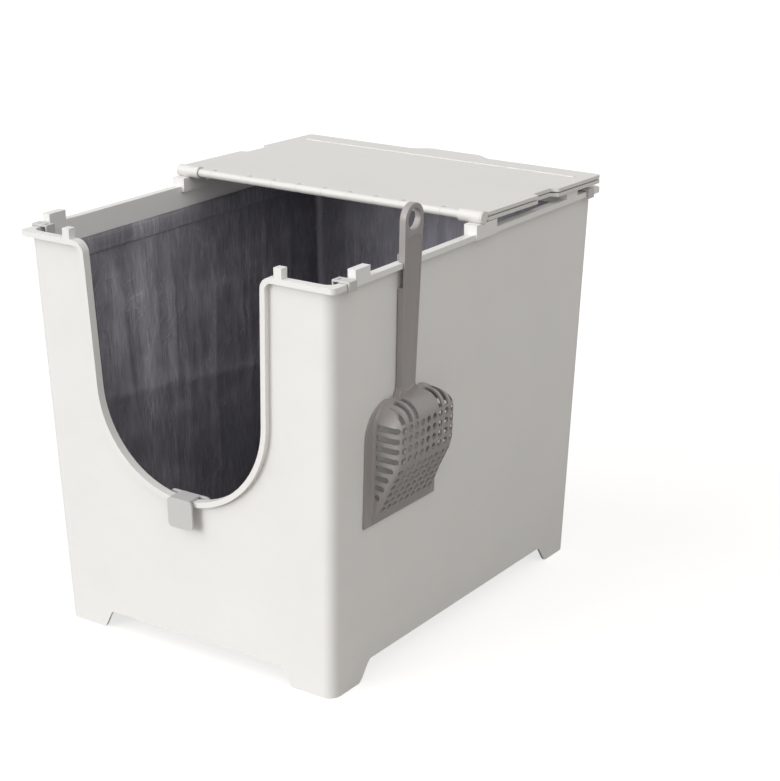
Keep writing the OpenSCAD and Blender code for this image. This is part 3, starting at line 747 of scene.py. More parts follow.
@dataclass
class BinSizes:
    """The bin's outline, from the CAD source."""

    width: float = 398.4 * MM
    depth: float = 516.9 * MM
    height: float = 452.0 * MM
    wall: float = 3.0 * MM
    draft: float = 15.3 * MM
    rim_out: float = 6.5 * MM
    rim: float = 6.1 * MM
    entry_r: float = 110.0 * MM
    entry_centre: float = 297.0 * MM
    entry_flare: float = math.radians(2.4)
    centre: Vector = field(default_factory=Vector)

    def __post_init__(self) -> None:
        """Takes the bin's middle from the frame."""
        low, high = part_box("bin_shell")
        self.centre = Vector(((low.x + high.x) / 2, (low.y + high.y) / 2, 0))

    @property
    def tilt(self) -> float:
        """Lean of the walls, in radians."""
        return math.atan(self.draft / self.height)

    @property
    def entry_middle(self) -> float:
        """Height of the entry's radius centre in the front wall's own plane."""
        return -(self.height - self.entry_centre) / math.cos(self.tilt)

    def inner(self, z: float) -> tuple[float, float]:
        """Half width and half depth of the inside at a height."""
        lost = self.draft * (1 - z / self.height) + self.wall
        return self.width / 2 - lost, self.depth / 2 - lost

    def front_matrix(self) -> Matrix:
        """From the front wall's plane (x across, y up with 0 at the rim, z out) to the scene."""
        at = Matrix.Translation(self.centre + Vector((0, -self.depth / 2, self.height)))
        return at @ Matrix.Rotation(math.pi / 2 + self.tilt, 4, "X")

    def past_entry(self, x: float, y: float) -> float:
        """Distance of a point of the front wall's plane outside the entry's edge."""
        x, y, s = abs(x), y - self.entry_middle, self.entry_flare
        if x * math.sin(s) + y * math.cos(s) > 0:
            return x * math.cos(s) - y * math.sin(s) - self.entry_r
        return math.hypot(x, y) - self.entry_r

    def entry_path(self, grow: float, top: float) -> Points:
        """The entry's edge from its right top round to its left top, grown outward."""
        r, s = self.entry_r + grow, self.entry_flare
        foot = (r * math.cos(s), self.entry_middle - r * math.sin(s))
        rise = top - foot[1]
        climb = [rise * (1 - t / 12) for t in range(12)]
        right = [(foot[0] + up * math.tan(s), foot[1] + up) for up in climb]
        turn = [-s - (math.pi - 2 * s) * i / 64 for i in range(65)]
        arc = [(r * math.cos(a), self.entry_middle + r * math.sin(a)) for a in turn]
        return right + arc + [(-x, y) for x, y in reversed(right)]


@dataclass(frozen=True)
class ShellRounding:
    """Radii of the shell's edges, by where they run."""

    rest: float = 2.2 * MM
    rest_side: float = 1.6 * MM
    rim_top: float = 1.3 * MM
    rim_out: float = 2.2 * MM
    rim_under: float = 1.2 * MM
    foot: float = 0.8 * MM
    entry: float = 2.9 * MM
    outer: float = 1.2 * MM
    inner: float = 1.8 * MM


class BinShell:
    """The one-piece bin: tapering walls, rolled rim, entry, rests, hinge blocks and feet."""

    def __init__(self, sizes: BinSizes, rounding: ShellRounding = ShellRounding()) -> None:
        """Keeps the sizes and the radii."""
        self.sizes = sizes
        self.rounding = rounding

    def _radius(self, a: Vector, b: Vector, out: bool) -> float:
        """Radius of one edge of the shell, by where it runs."""
        s, r = self.sizes, self.rounding
        low, high = sorted((a.z, b.z))
        if low > s.height - 0.2 * MM:
            on_rest, upright = low > s.height + 3 * MM, high - low > 3 * MM
            return r.rest if on_rest else r.rest_side if upright else r.rim_top
        if low > s.height - s.rim - 0.5 * MM:
            return r.rim_out if out else r.rim_under
        if high < 3 * MM:
            return r.foot
        if out and self._on_entry(a) and self._on_entry(b):
            return r.entry
        return r.outer if out else r.inner

    def _on_entry(self, point: Vector) -> bool:
        """Whether a point stands on the front edge of the entry's raised border."""
        local = self.sizes.front_matrix().inverted() @ point
        past = self.sizes.past_entry(local.x, local.y)
        return local.z > 1 * MM and -1 * MM < past < 8 * MM

    def build(self) -> list[bpy.types.Object]:
        """Makes the shell."""
        shell = cad_copy("bin_shell", "bin", self._radius)
        return [finish_piece(shell, "bin", Finish.SHELL, ["bin_shell"])]


@dataclass
class LinerSizes:
    """Sizes of the hanging liner."""

    top: float = 427.0 * MM
    floor: float = 26.4 * MM
    gap: float = 0.7 * MM
    cloth: float = 0.7 * MM
    corner: float = 9.6 * MM
    floor_r: float = 9.0 * MM
    entry_gap: float = 3.0 * MM
    hem: float = 20.0 * MM
    hem_in: float = 2.3 * MM
    hem_t: float = 1.0 * MM
    binding: float = 8.0 * MM
    crease_z: float = 219.5 * MM
    crease_fall: float = 0.115
    crease_depth: float = 2.4 * MM
    crease_above: float = 9.0 * MM
    crease_below: float = 3.5 * MM
    second_crease: float = 112.0 * MM
    second_depth: float = 1.0 * MM
    fold_count: int = 120
    fold_limit: float = 4.6 * MM
    corner_still: float = 14.0 * MM
    still_fade: float = 30.0 * MM
    seed: int = 11
    rows: int = 62
    sides: tuple[int, ...] = (96, 150, 116, 160)
    crest_highlight: float = 4.0 * MM
    # Strength and width of a painted highlight line down each upright corner of the bag.
    corner_highlight: float = 1.6
    corner_highlight_w: float = 1.8 * MM


@dataclass(frozen=True)
class Fold:
    """One upright fold of the cloth, by where it stands on the bag's girth."""

    at: float
    slant: float
    width: float
    depth: float
    low: float
    high: float
    fade: float = 60 * MM

    def push(self, u: np.ndarray, z: float) -> np.ndarray:
        """How far the fold stands in at these places of one level."""
        side = (u - self.at - self.slant * (z - self.low)) / self.width
        fade = np.clip((z - self.low) / self.fade, 0, 1) * np.clip((self.high - z) / self.fade, 0, 1)
        return self.depth * np.exp(-side * side) * fade


def ridge(at: Vector) -> float:
    """Noise that rises to sharp ridges, as 0..1."""
    return max(1 - abs(noise.noise(at)) * 2, 0)


class Liner:
    """The coated-cloth bag with its hem, entry binding, straps and stitching."""

    def __init__(self, sizes: BinSizes, liner: LinerSizes) -> None:
        """Keeps the sizes and draws the folds from a fixed seed."""
        self.bin = sizes
        self.liner = liner
        self.path, _, self.girth = self.ring(liner.crease_z, 0, liner.corner)
        a, b = sizes.inner(liner.crease_z)
        self.folds = [
            Fold(self.at(-a, -0.083), 0.04, 11 * MM, 4.2 * MM, 0.17, 0.43),
            Fold(self.at(-a, -0.052), -0.05, 6 * MM, 2.4 * MM, 0.20, 0.41),
            Fold(self.at(-a, -0.118), 0.06, 7 * MM, 2.8 * MM, 0.15, 0.38),
            Fold(self.at(-0.022, b), 0.0, 7 * MM, 3.6 * MM, 0.12, 0.43),
            Fold(self.at(0.012, b), 0.02, 5 * MM, 2.4 * MM, 0.16, 0.42),
        ]
        rng = np.random.default_rng(liner.seed)
        for _ in range(liner.fold_count):
            low = float(rng.uniform(0.03, 0.26))
            self.folds.append(Fold(
                at=float(rng.uniform(0.0, self.girth[-1])), slant=float(rng.normal(0, 0.05)),
                width=float(rng.uniform(2.6, 8.5)) * MM, depth=float(rng.uniform(0.6, 2.6)) * MM,
                low=low, high=low + float(rng.uniform(0.12, 0.34)),
            ))

    def at(self, x: float, y: float) -> float:
        """Distance along the girth of the place nearest to a point of the plan."""
        gap = np.linalg.norm(self.path - np.array((x, y)), axis=1)
        return float(self.girth[int(gap.argmin())])

    def crease_at(self, y: np.ndarray) -> np.ndarray:
        """Height of the packing crease, which falls towards the back."""
        return self.liner.crease_z - self.liner.crease_fall * y

    def ring(
        self, z: float, inset: float, corner: float
    ) -> tuple[np.ndarray, np.ndarray, np.ndarray]:
        """One level of the bag.

        Returns:
            The points, the inward directions and the distance along the girth.
        """
        a, b = (v - inset for v in self.bin.inner(z))
        r = max(corner - inset, 2 * MM)
        runs = (
            ((-a + r, -b), (a - r, -b), (a - r, -b + r)), ((a, -b + r), (a, b - r), (a - r, b - r)),
            ((a - r, b), (-a + r, b), (-a + r, b - r)), ((-a, b - r), (-a, -b + r), (-a + r, -b + r)),
        )
        points, inward = [], []
        for k, (count, (p, q, centre)) in enumerate(zip(self.liner.sides, runs)):
            turn = k * math.pi / 2
            for i in range(count):
                t = i / count
                points.append((p[0] + (q[0] - p[0]) * t, p[1] + (q[1] - p[1]) * t))
                inward.append((-math.sin(turn), math.cos(turn)))
            for i in range(6):
                turn = (k - 1) * math.pi / 2 + math.pi / 2 * i / 6
                points.append((centre[0] + r * math.cos(turn), centre[1] + r * math.sin(turn)))
                inward.append((-math.cos(turn), -math.sin(turn)))
        path = np.array(points)
        step = np.linalg.norm(np.roll(path, -1, 0) - path, axis=1)
        return path, np.array(inward), np.concatenate([[0], np.cumsum(step)[:-1]])

    @staticmethod
    def off_mouth(path: np.ndarray, half: float) -> list[int]:
        """Places of a level outside the entry, from its right side round to its left."""
        keep = [i for i, (x, y) in enumerate(path) if not (y < 0 and abs(x) < half)]
        first = next(k for k, i in enumerate(keep) if path[i][0] > 0 and path[i][1] < 0)
        return keep[first:] + keep[:first]

    def push(self, u: np.ndarray, z: float, path: np.ndarray) -> np.ndarray:
        """How far the cloth stands off the wall at one level."""
        s = self.liner
        a, b = self.bin.inner(z)
        gaps = np.abs(np.abs(path) - np.array((a, b)))
        corner = np.minimum(gaps[:, 0], 1) + np.minimum(gaps[:, 1], 1)
        away = np.clip((corner - s.corner_still) / s.still_fade, 0, 1)
        free = np.clip((s.top - s.hem - z) / s.still_fade, 0.0, 1) * away
        out = np.zeros_like(u)
        for fold in self.folds:
            out += fold.push(u, z)
        out = s.fold_limit * np.tanh(out / s.fold_limit)
        off = z - self.crease_at(path[:, 1])
        sharp = np.where(off > 0, s.crease_above, s.crease_below)
        out += s.crease_depth * np.exp(-np.abs(off) / sharp) * (0.7 + 0.3 * np.sin(u * 19))
        out += s.second_depth * np.exp(-((off - s.second_crease) / s.crease_below) ** 2)
        out += np.array([self.crumple(p[0], p[1], z) for p in path])
        front = np.where(path[:, 1] < -b + 1e-4, 0.25, 1.0)
        return s.gap + np.maximum(out * free * front, 0)

    @staticmethod
    def crumple(x: float, y: float, z: float) -> float:
        """Small sharp crumples of the coated cloth."""
        big = ridge(Vector((x, y, z * 0.7)) * 19.0)
        small = ridge(Vector((x, y, z)) * 55.0 + Vector((7, 3, 1)))
        return (1.5 * big ** 3 + 0.5 * small ** 2) * MM

    def levels(self) -> Iterator[tuple[list, list, np.ndarray]]:
        """The bag's levels: down the walls, round the bottom edge and in over the floor.

        Yields:
            A level's points, their UVs in metres and their crest values.
        """
        s = self.liner
        for z in np.linspace(s.top, s.floor + s.floor_r, s.rows):
            path, inward, _ = self.ring(z, 0, s.corner + s.gap)
            off = self.push(self.girth, z, path)
            a, b = self.bin.inner(z)
            edge = np.hypot(np.abs(path[:, 0]) - a, np.abs(path[:, 1]) - b) - 0.41 * s.corner
            crest_highlight = np.clip((off - s.gap) / s.crest_highlight, 0, 1)
            # Painted highlight: a light line down each upright corner of the bag.
            crest_highlight += s.corner_highlight * np.exp(-((edge / s.corner_highlight_w) ** 2))
            flat = path + inward * off[:, None]
            yield [(x, y, z) for x, y in flat], [(w, z) for w in self.girth], crest_highlight
        for k in range(1, 4):
            t = k / 3 * math.pi / 2
            z = s.floor + s.floor_r * (1 - math.sin(t))
            inset = s.gap + s.floor_r * (1 - math.cos(t))
            path, _, _ = self.ring(s.floor, inset, s.corner + s.gap)
            level = [(x, y, z + self.floor_lift(x, y) * (k / 3)) for x, y in path]
            yield level, [(w, z - inset) for w in self.girth], np.zeros(len(path))
        reach = self.bin.inner(s.floor)[0] - 6 * MM
        for inset in np.linspace(s.gap + s.floor_r, reach, 24)[1:]:
            path, _, _ = self.ring(s.floor, float(inset), s.corner + s.gap)
            lift = [self.floor_lift(x, y) for x, y in path]
            level = [(x, y, s.floor + up) for (x, y), up in zip(path, lift)]
            uvs = [(w, s.floor - s.floor_r - inset) for w in self.girth]
            yield level, uvs, np.array([up / s.crest_highlight for up in lift])

    def bag(self) -> bpy.types.Object:
        """The bag's one continuous skin, cut out at the entry, with its thickness."""
        rings, uvs, crest_highlights = zip(*self.levels())
        obj = loft("liner_bag", rings, True, False)
        n = len(rings[0])
        flat_uv = [p for row in uvs for p in row]
        girth = self.girth[-1] + 5 * MM
        with edited(obj.data) as bm:
            bm.verts.ensure_lookup_table()
            bm.faces.new([bm.verts[(len(rings) - 1) * n + i] for i in range(n)])
            layer = bm.loops.layers.uv.new("UVMap")
            crest_highlight = bm.verts.layers.float.new("crest_highlight")
            for vert, value in zip(list(bm.verts), np.concatenate(crest_highlights)):
                vert[crest_highlight] = float(value)
            for face in bm.faces:
                high = max(flat_uv[v.index][0] for v in face.verts)
                for loop in face.loops:
                    u, v = flat_uv[loop.vert.index]
                    wrap = high - u > 0.5 * girth and len(face.verts) == 4
                    loop[layer].uv = (u + girth if wrap else u, v)
            self._cut_entry(bm)
            bmesh.ops.recalc_face_normals(bm, faces=bm.faces)
        placed(obj, Matrix.Translation(self.bin.centre))
        inside = obj.data.polygons[len(obj.data.polygons) - 1].normal.z
        outward = -1.0 if inside < 0 else 1.0
        modify(obj, "SOLIDIFY", thickness=self.liner.cloth, offset=outward, use_even_offset=False)
        return smooth(obj, 60)

    def _cut_entry(self, bm: bmesh.types.BMesh) -> None:
        """Takes out the cloth inside the entry and draws the cut edge on to its line."""
        plane = Matrix.Translation(-self.bin.centre) @ self.bin.front_matrix()
        back = plane.inverted()
        inside = {}
        for vert in bm.verts:
            local = back @ vert.co
            if local.z > -12 * MM and vert.co.y < 0:
                inside[vert] = self.bin.past_entry(local.x, local.y) - self.liner.entry_gap
        gone = [f for f in bm.faces if all(inside.get(v, 0) < -0.2 * MM for v in f.verts)]
        bmesh.ops.delete(bm, geom=gone, context="FACES")
        step, past = 0.1 * MM, self.bin.past_entry
        for vert, beyond in inside.items():
            if vert.is_valid and beyond < -1e-6 and vert.link_faces:
                local = back @ vert.co
                x, y = local.x, local.y
                local.x -= beyond * (past(x + step, y) - past(x - step, y)) / (2 * step)
                local.y -= beyond * (past(x, y + step) - past(x, y - step)) / (2 * step)
                vert.co = plane @ local
        bmesh.ops.delete(bm, geom=[v for v in bm.verts if not v.link_faces], context="VERTS")

    @staticmethod
    def floor_lift(x: float, y: float) -> float:
        """Height of the floor's creases: soft ridges and a cross of packing folds."""
        cross = math.exp(-((x - 0.02) / 0.006) ** 2) + math.exp(-((y + 0.03) / 0.006) ** 2)
        return (1.3 * ridge(Vector((x, y, 3.3)) * 11.0) ** 3 + 1.2 * cross) * MM

    def hem_band(self) -> bpy.types.Object:
        """The doubled hem inside the bag's top, from one side of the entry to the other."""
        s = self.liner
        top_x = (self.bin.entry_r + s.entry_gap) / math.cos(self.bin.entry_flare)
        top_x += (s.top - self.bin.entry_centre) * math.tan(self.bin.entry_flare)
        low, high = s.top - s.hem, s.top - 0.2 * MM
        shoulder = high - s.hem_t * 0.5
        section = [
            (-0.8 * MM, low), (0, shoulder), (s.hem_t * 0.5, high), (s.hem_t, shoulder),
            (s.hem_t * 1.15, (low + high) / 2), (s.hem_t * 0.3, low + 0.3 * MM),
            (-0.3 * MM, low - 0.1 * MM),
        ]
        columns = []
        for depth, z in section:
            path, inward, u = self.ring(z, 0, s.corner + s.gap)
            wave = 0.35 * MM * (1 + np.sin(u * 21) * np.sin(u * 5.3 + 1))
            columns.append((path + inward * (s.hem_in + depth + wave * (z < high - 3 * MM))[:, None], z))
        rings = [[(*flat[i], z) for flat, z in columns] for i in self.off_mouth(columns[0][0], top_x)]
        for ring, side in ((rings[0], 1), (rings[-1], -1)):
            ring[:] = [(side * (top_x + 0.3 * MM), y, z) for _, y, z in ring]
        band = loft("liner_hem_band", rings, True, True)
        crest_highlight = band.data.attributes.new("crest_highlight", "FLOAT", "POINT")
        # Painted highlight: each column of the hem is lightened by a random amount, like a pucker
        # catching the light.
        pucker_highlight = np.random.default_rng(s.seed + 1).random(len(rings)) ** 2
        for i, item in enumerate(crest_highlight.data):
            item.value = 0.05 + 0.6 * float(pucker_highlight[i // len(section)])
        return smooth(placed(band, Matrix.Translation(self.bin.centre)), 50)

    def binding_tape(self) -> bpy.types.Object:
        """The tape folded round the cloth's edge along the entry."""
        s = self.liner
        top = (s.top - s.hem - self.bin.height) / math.cos(self.bin.tilt) - 1 * MM
        edge, far = s.entry_gap, s.entry_gap + s.binding
        section = [
            (edge - 1.3 * MM, 0.5 * MM), (edge - 1.5 * MM, 1.5 * MM), (edge - 1.3 * MM, 2.9 * MM),
            (edge - 0.6 * MM, 3.4 * MM), (far, 3.5 * MM), (far + 0.2 * MM, 3.0 * MM),
            (far, 2.4 * MM), (edge - 0.3 * MM, 2.4 * MM), (edge - 0.4 * MM, 0.5 * MM),
        ]
        columns = [
            [(x, y, -self.bin.wall - depth) for x, y in self.bin.entry_path(grow, top)]
            for grow, depth in section
        ]
        rings = list(zip(*columns))
        tape = loft("liner_binding", rings, True, True)
        return smooth(placed(tape, self.bin.front_matrix()), 40)

    def strap_piece(self, node: str) -> bpy.types.Object:
        """One short strap from the hem up to its clip, bowed a little."""
        low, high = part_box(node)
        side = 1 if low.x > self.bin.centre.x else -1
        outer = high.x if side > 0 else low.x
        thick = (high.x - low.x) * 0.8
        rings = []
        steps = 14
        for i in range(steps + 1):
            t = i / steps
            z = low.z + (high.z - low.z) * t
            near = outer - side * 0.25 * MM * math.sin(math.pi * t) ** 2
            far = near - side * thick
            pinch = 0.4 * MM * math.sin(math.pi * t)
            y0, y1 = low.y + pinch, high.y - pinch
            rings.append([(near, y0, z), (far, y0, z), (far, y1, z), (near, y1, z)])
        strap = loft(node.replace("strap", "liner_strap"), rings, True, True)
        round_edges(strap, lambda a, b, out: 0.25 * MM, 2, 50)
        return smooth(strap, 50)

    def stitch_lines(self, tool: NodeTool) -> bpy.types.Object:
        """Two rows along the hem and one along the binding."""
        s = self.liner
        rows = []
        for drop, proud in ((4.0 * MM, 1.12), (16.5 * MM, 0.62)):
            z = s.top - drop
            path, inward, _ = self.ring(z, 0, s.corner + s.gap)
            path = path + inward * (s.hem_in + s.hem_t * proud + 0.25 * MM)
            keep = self.off_mouth(path, self.bin.entry_r + 16 * MM)
            rows.append([Vector((*path[i], z)) + self.bin.centre for i in keep])
        plane = self.bin.front_matrix()
        top = (s.top - s.hem - self.bin.height) / math.cos(self.bin.tilt) - 3 * MM
        edge = self.bin.entry_path(s.entry_gap + s.binding - 1.6 * MM, top)
        rows.append([plane @ Vector((x, y, -self.bin.wall - 3.55 * MM)) for x, y in edge])
        points, edges = [], []
        for row in rows:
            start = len(points)
            points += [tuple(p) for p in row]
            edges += [(i, i + 1) for i in range(start, len(points) - 1)]
        mesh = bpy.data.meshes.new("liner_stitches")
        mesh.from_pydata(points, edges, [])
        obj = new_object("liner_stitches", mesh)
        return tool.run(
            obj, Pitch=4.2 * MM, Length=2.9 * MM, Thickness=0.28 * MM, Material=Finish.THREAD.get(),
        )

    def build(self, tool: NodeTool) -> list[bpy.types.Object]:
        bag = finish_piece(
            self.bag(), "bin", Finish.LINER,
            ["liner_floor", "liner_left", "liner_right", "liner_rear", "liner_front"],
        )
        with_bag = [
            finish_piece(self.hem_band(), "bin", Finish.LINER, ["liner_hem"]),
            finish_piece(self.binding_tape(), "bin", Finish.TAPE, ["liner_entry_binding"]),
            finish_piece(self.stitch_lines(tool), "bin", Finish.THREAD),
        ]
        for node in (f"strap_{corner}" for corner in CORNERS):
            strap = self.strap_piece(node)
            with_bag.append(finish_piece(strap, "bin", Finish.TAPE, [node]))
        return [bag, *with_bag]


class Clips:
    """The four corner clips and the wider clip on the entry."""

    def build(self) -> list[bpy.types.Object]:
        """Makes the clips."""
        made = []
        for node in (f"clip_{corner}" for corner in CORNERS):
            clip = cad_copy(node, "corner_" + node, 0.55 * MM)
            made.append(finish_piece(clip, "bin", Finish.CLIP, [node]))
        front = cad_copy("front_clip", "entry_clip", 0.6 * MM)
        made.append(finish_piece(front, "front_clip", Finish.CLIP, ["front_clip"]))
        return made


@dataclass
class Lid:
    """The two leaves, the rod between them and the discs at its ends."""

    bin: BinSizes
    hinge_y: float = 3.0 * MM
    hinge_z: float = 468.05 * MM
    barrel: float = 4.75 * MM
    bore: float = 2.15 * MM
    finger: float = 5.0 * MM
    slot: float = 6.0 * MM
    seam: float = 0.12 * MM
    fingers: tuple[float, ...] = (-0.157, -0.105, -0.07, -0.035, 0.0, 0.035, 0.07, 0.105, 0.157)

    def along_hinge(self, radius: float, start: float, end: float) -> bpy.types.Object:
        """A cylinder on the hinge line between two places across the lid."""
        at = self.bin.centre + Vector((0, self.hinge_y, self.hinge_z))
        return placed(prism(circle(radius), start, end), Matrix.Translation(at) @ plan_on_yz())

    def radius(self, a: Vector, b: Vector, out: bool) -> float:
        """Rounding of an edge: soft outside, crisp beside the fingers."""
        across = (a.x + b.x) / 2 - self.bin.centre.x
        back = (a.y + b.y) / 2 - self.bin.centre.y - self.hinge_y
        if back < self.barrel + 1.5 * MM and any(abs(across - x) < self.slot for x in self.fingers):
            return 0.0
        return (1.1 if out else 0.7) * MM

    def front_leaf(self) -> bpy.types.Object:
        """The front leaf, its barrel closed up to the sides of the fingers."""
        leaf = tidy(new_object("front_leaf", frame["nodes"]["lid_front_leaf"].data.copy()))
        inner, outer = self.finger / 2 + self.seam, self.slot / 2 + 0.2 * MM
        for x in self.fingers:
            for side in (-1, 1):
                ends = sorted((x + side * inner, x + side * outer))
                carve(leaf, self.along_hinge(self.barrel, *ends), "UNION")
        carve(leaf, self.along_hinge(self.bore, -0.25, 0.25))
        return smooth(round_edges(tidy(leaf), self.radius), 35, True)

    def build(self) -> list[bpy.types.Object]:
        """Makes the lid's pieces."""
        rear = cad_copy("lid_rear_leaf", "rear_leaf", self.radius)
        made = [
            finish_piece(rear, "lid_rear", Finish.LID, ["lid_rear_leaf"]),
            finish_piece(self.front_leaf(), "lid_front", Finish.LID, ["lid_front_leaf"]),
        ]
        for side in ("left", "right"):
            cap = cad_copy(f"hinge_cap_{side}", f"knuckle_disc_{side}", 0.7 * MM)
            made.append(finish_piece(cap, "lid_rear", Finish.LID, [f"hinge_cap_{side}"]))
        rod = cad_copy("hinge_rod", "rod", 0.3 * MM)
        made.append(finish_piece(rod, "lid_rear", Finish.ROD, ["hinge_rod"]))
        return made


@dataclass
class ScoopSizes:
    """The scoop, in its own hanging frame: x out of the wall, z up from the rim."""

    handle: float = 7.5 * MM
    top: float = 59.0 * MM
    top_r: float = 16.4 * MM
    low_r: float = 12.6 * MM
    loop_r: float = 11.0 * MM
    head_top: float = -141.0 * MM
    lip: float = -274.0 * MM
    flat: float = -204.0 * MM
    head_w: float = 131.0 * MM
    basket_w: float = 106.0 * MM
    out: float = 26.5 * MM
    shell: float = 2.2 * MM
    dome: float = 20.0 * MM
    plan_r: float = 26.0 * MM
    edge_r: float = 10.0 * MM
    pitch: float = 11.0 * MM
    slope_pitch: float = 10.0 * MM
    columns: int = 9
    face_rows: int = 4
    slope_rows: int = 6
    side_slots: int = 8
    hole_r: float = 3.6 * MM
    slot: float = 6.4 * MM
    slot_margin: float = 2.2 * MM
    slot_r: float = 3.1 * MM
    notch: float = 27.0 * MM
    web: float = 2.0 * MM
    seat: float = 0.3 * MM
    hook_t: float = 2.5 * MM
    hook_half: float = 5.0 * MM
    hook_drop: float = 5.0 * MM
    bridge_top: float = 4.3 * MM
    lean: float = 0.038238

    @property
    def plate(self) -> float:
        """Place of the outer face of the head's border."""
        return -self.handle + self.shell


class Scoop:
    """The sifting scoop: a lofted basket, punched, with a looped handle."""

    def __init__(self, sizes: ScoopSizes, bin_sizes: BinSizes) -> None:
        """Finds the scoop's hanging frame."""
        self.s = sizes
        self.bin = bin_sizes
        rim_x = bin_sizes.width / 2 + bin_sizes.rim_out
        self.at_x = rim_x + 0.5 * MM + 2.0 * MM
        low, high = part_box("scoop")
        at = Vector((bin_sizes.centre.x + self.at_x, (low.y + high.y) / 2, bin_sizes.height))
        self.matrix = Matrix.Translation(at) @ Matrix.Rotation(sizes.lean, 4, "Y")

    def section(self, z: float, reach: float) -> list[tuple[float, float, float]]:
        """The head's outer skin at one height, from its right border round to its left."""
        s = self.s
        plate = s.plate

        def half_width(full: float, corner: float) -> float:
            """Half the width of a plan with rounded top corners."""
            up = z - (s.head_top - corner)
            return full / 2 - corner + math.sqrt(max(corner * corner - max(up, 0) ** 2, 0))

        border_r = s.plan_r + (s.head_w - s.basket_w) / 2
        rim_y = half_width(s.head_w, border_r)
        wall_y = half_width(s.basket_w, s.plan_r)
        depth = reach - plate
        fillet = min(3 * MM, depth * 0.45, max(rim_y - wall_y, 0) * 0.6)
        r = min(s.edge_r, depth * 0.55, wall_y * 0.5)
        side = [(plate, rim_y + (wall_y + fillet - rim_y) * i / 3) for i in range(3)]
        side += [(plate + fillet * (1 - math.cos(t)), wall_y + fillet * (1 - math.sin(t)))
                 for t in (math.pi / 2 * i / 3 for i in range(4))]
        foot, head = plate + fillet, reach - r
        side += [(foot + (head - foot) * i / 4, wall_y) for i in range(1, 4)]
        side += [(head + r * math.sin(t), wall_y - r + r * math.cos(t))
                 for t in (math.pi / 2 * i / 6 for i in range(7))]
        flat = wall_y - r
        side += [(reach, flat * (1 - i / 7)) for i in range(1, 7)]
        right = [(x, y, z) for x, y in side]
        return right + [(reach, 0.0, z)] + [(x, -y, z) for x, y, z in reversed(right)]

    def head(self) -> bpy.types.Object:
        """The head's skin with its thickness, not yet punched."""
        s = self.s
        plate = s.plate
        rows = []
        knee = 12 * MM
        slope = (s.out - plate) / (s.flat - s.lip)
        for i in range(22):
            z = s.lip + (s.flat + knee - s.lip) * i / 21
            reach = plate + slope * (z - s.lip)
            near = (z - (s.flat - knee)) / (2 * knee)
            if near > 0:
                reach = plate + slope * (z - s.lip) - slope * knee * near * near
            rows.append((z, max(min(reach, s.out), plate + 0.05 * MM)))
        for i in range(1, 6):
            rows.append((s.flat + knee + (s.head_top - s.dome - s.flat - knee) * i / 5, s.out))
        for i in range(1, 11):
            t = math.pi / 2 * i / 10
            rows.append((s.head_top - s.dome * (1 - math.sin(t)), s.out - s.dome * (1 - math.cos(t))))
        rings = [self.section(z, reach) for z, reach in rows]
        n = len(rings[0])
        obj = loft("scoop_head", rings, False, False)
        with edited(obj.data) as bm:
            bm.verts.ensure_lookup_table()
            bm.faces.new([bm.verts[(len(rings) - 1) * n + i] for i in range(n)])
            bmesh.ops.remove_doubles(bm, verts=bm.verts, dist=0.02 * MM)
            bmesh.ops.recalc_face_normals(bm, faces=bm.faces)
            middle = max(bm.faces, key=lambda f: f.calc_center_median().x)
            if middle.normal.x < 0:
                bmesh.ops.reverse_faces(bm, faces=bm.faces)
        return modify(
            obj, "SOLIDIFY", thickness=s.shell, offset=-1.0,
            use_even_offset=False, use_quality_normals=True,
        )

    def punches(self, tool: NodeTool) -> list[bpy.types.Object]:
        """The cutters of the sifting holes, in the scoop's frame."""
        s = self.s
        made = []
        first = s.head_top - s.dome - s.hole_r + 0.4 * MM
        upright = Matrix.Rotation(math.pi / 2, 4, "Y")

        def field_of(rows: int, pitch: float, stretch: float, depth: float, place: Matrix) -> None:
            """Adds one punched field; its grid's x runs down and y runs across."""
            base = from_data("punches", [(0, 0, 0)], [])
            tool.run(
                base, Columns=rows, Rows=s.columns, Pitch_X=pitch, Pitch_Y=s.pitch, Radius=s.hole_r,
                Depth=depth, Stretch=(stretch, 1, 1), Material=Finish.SCOOP.get(),
            )
            made.append(placed(base, place @ upright))

        mid = first - (s.face_rows - 1) * s.pitch / 2
        field_of(s.face_rows, s.pitch, 1.1, 30 * MM, Matrix.Translation((s.out, 0, mid)))
        lean = math.atan((s.out - s.plate) / (s.flat - s.lip))
        along = Matrix.Translation((s.out, 0, s.flat)) @ Matrix.Rotation(lean, 4, "Y")
        down = Matrix.Translation((0, 0, -(s.slope_rows + 1) * s.slope_pitch / 2 + 2 * MM))
        field_of(s.slope_rows, s.slope_pitch, 0.9, 12 * MM, along @ down)
        inner = -s.handle + 2.5 * s.shell
        wall = s.basket_w / 2
        for side in (-1, 1):
            for k in range(s.side_slots):
                z = first - k * s.pitch
                slope_x = -s.handle + (z - s.slot / 2 - s.lip) * math.tan(lean)
                outer = min(s.out, slope_x) - s.slot_margin
                if outer - inner > s.shell:
                    plan = self.rounded(inner, outer, z - s.slot / 2, z + s.slot / 2, s.slot_r)
                    made.append(placed(prism(plan, wall - 7 * MM, wall + 2 * MM), plan_on_xz(side)))
            for k in (2, 3, 4):
                made.append(self.dome_slot(side * k * s.pitch, first + s.pitch / 2 + 1 * MM))
        return made

    @staticmethod
    def rounded(x0: float, x1: float, z0: float, z1: float, r: float) -> Points:
        """A rectangle in x, z with round corners."""
        r = min(r, (x1 - x0) / 2.2, (z1 - z0) / 2.2)
        plan = []
        centres = ((x1 - r, z0 + r), (x1 - r, z1 - r), (x0 + r, z1 - r), (x0 + r, z0 + r))
        for k, (x, z) in enumerate(centres):
            start = (k - 1) * math.pi / 2
            for i in range(6):
                turn = start + math.pi / 2 * i / 5
                plan.append((x + r * math.cos(turn), z + r * math.sin(turn)))
        return plan

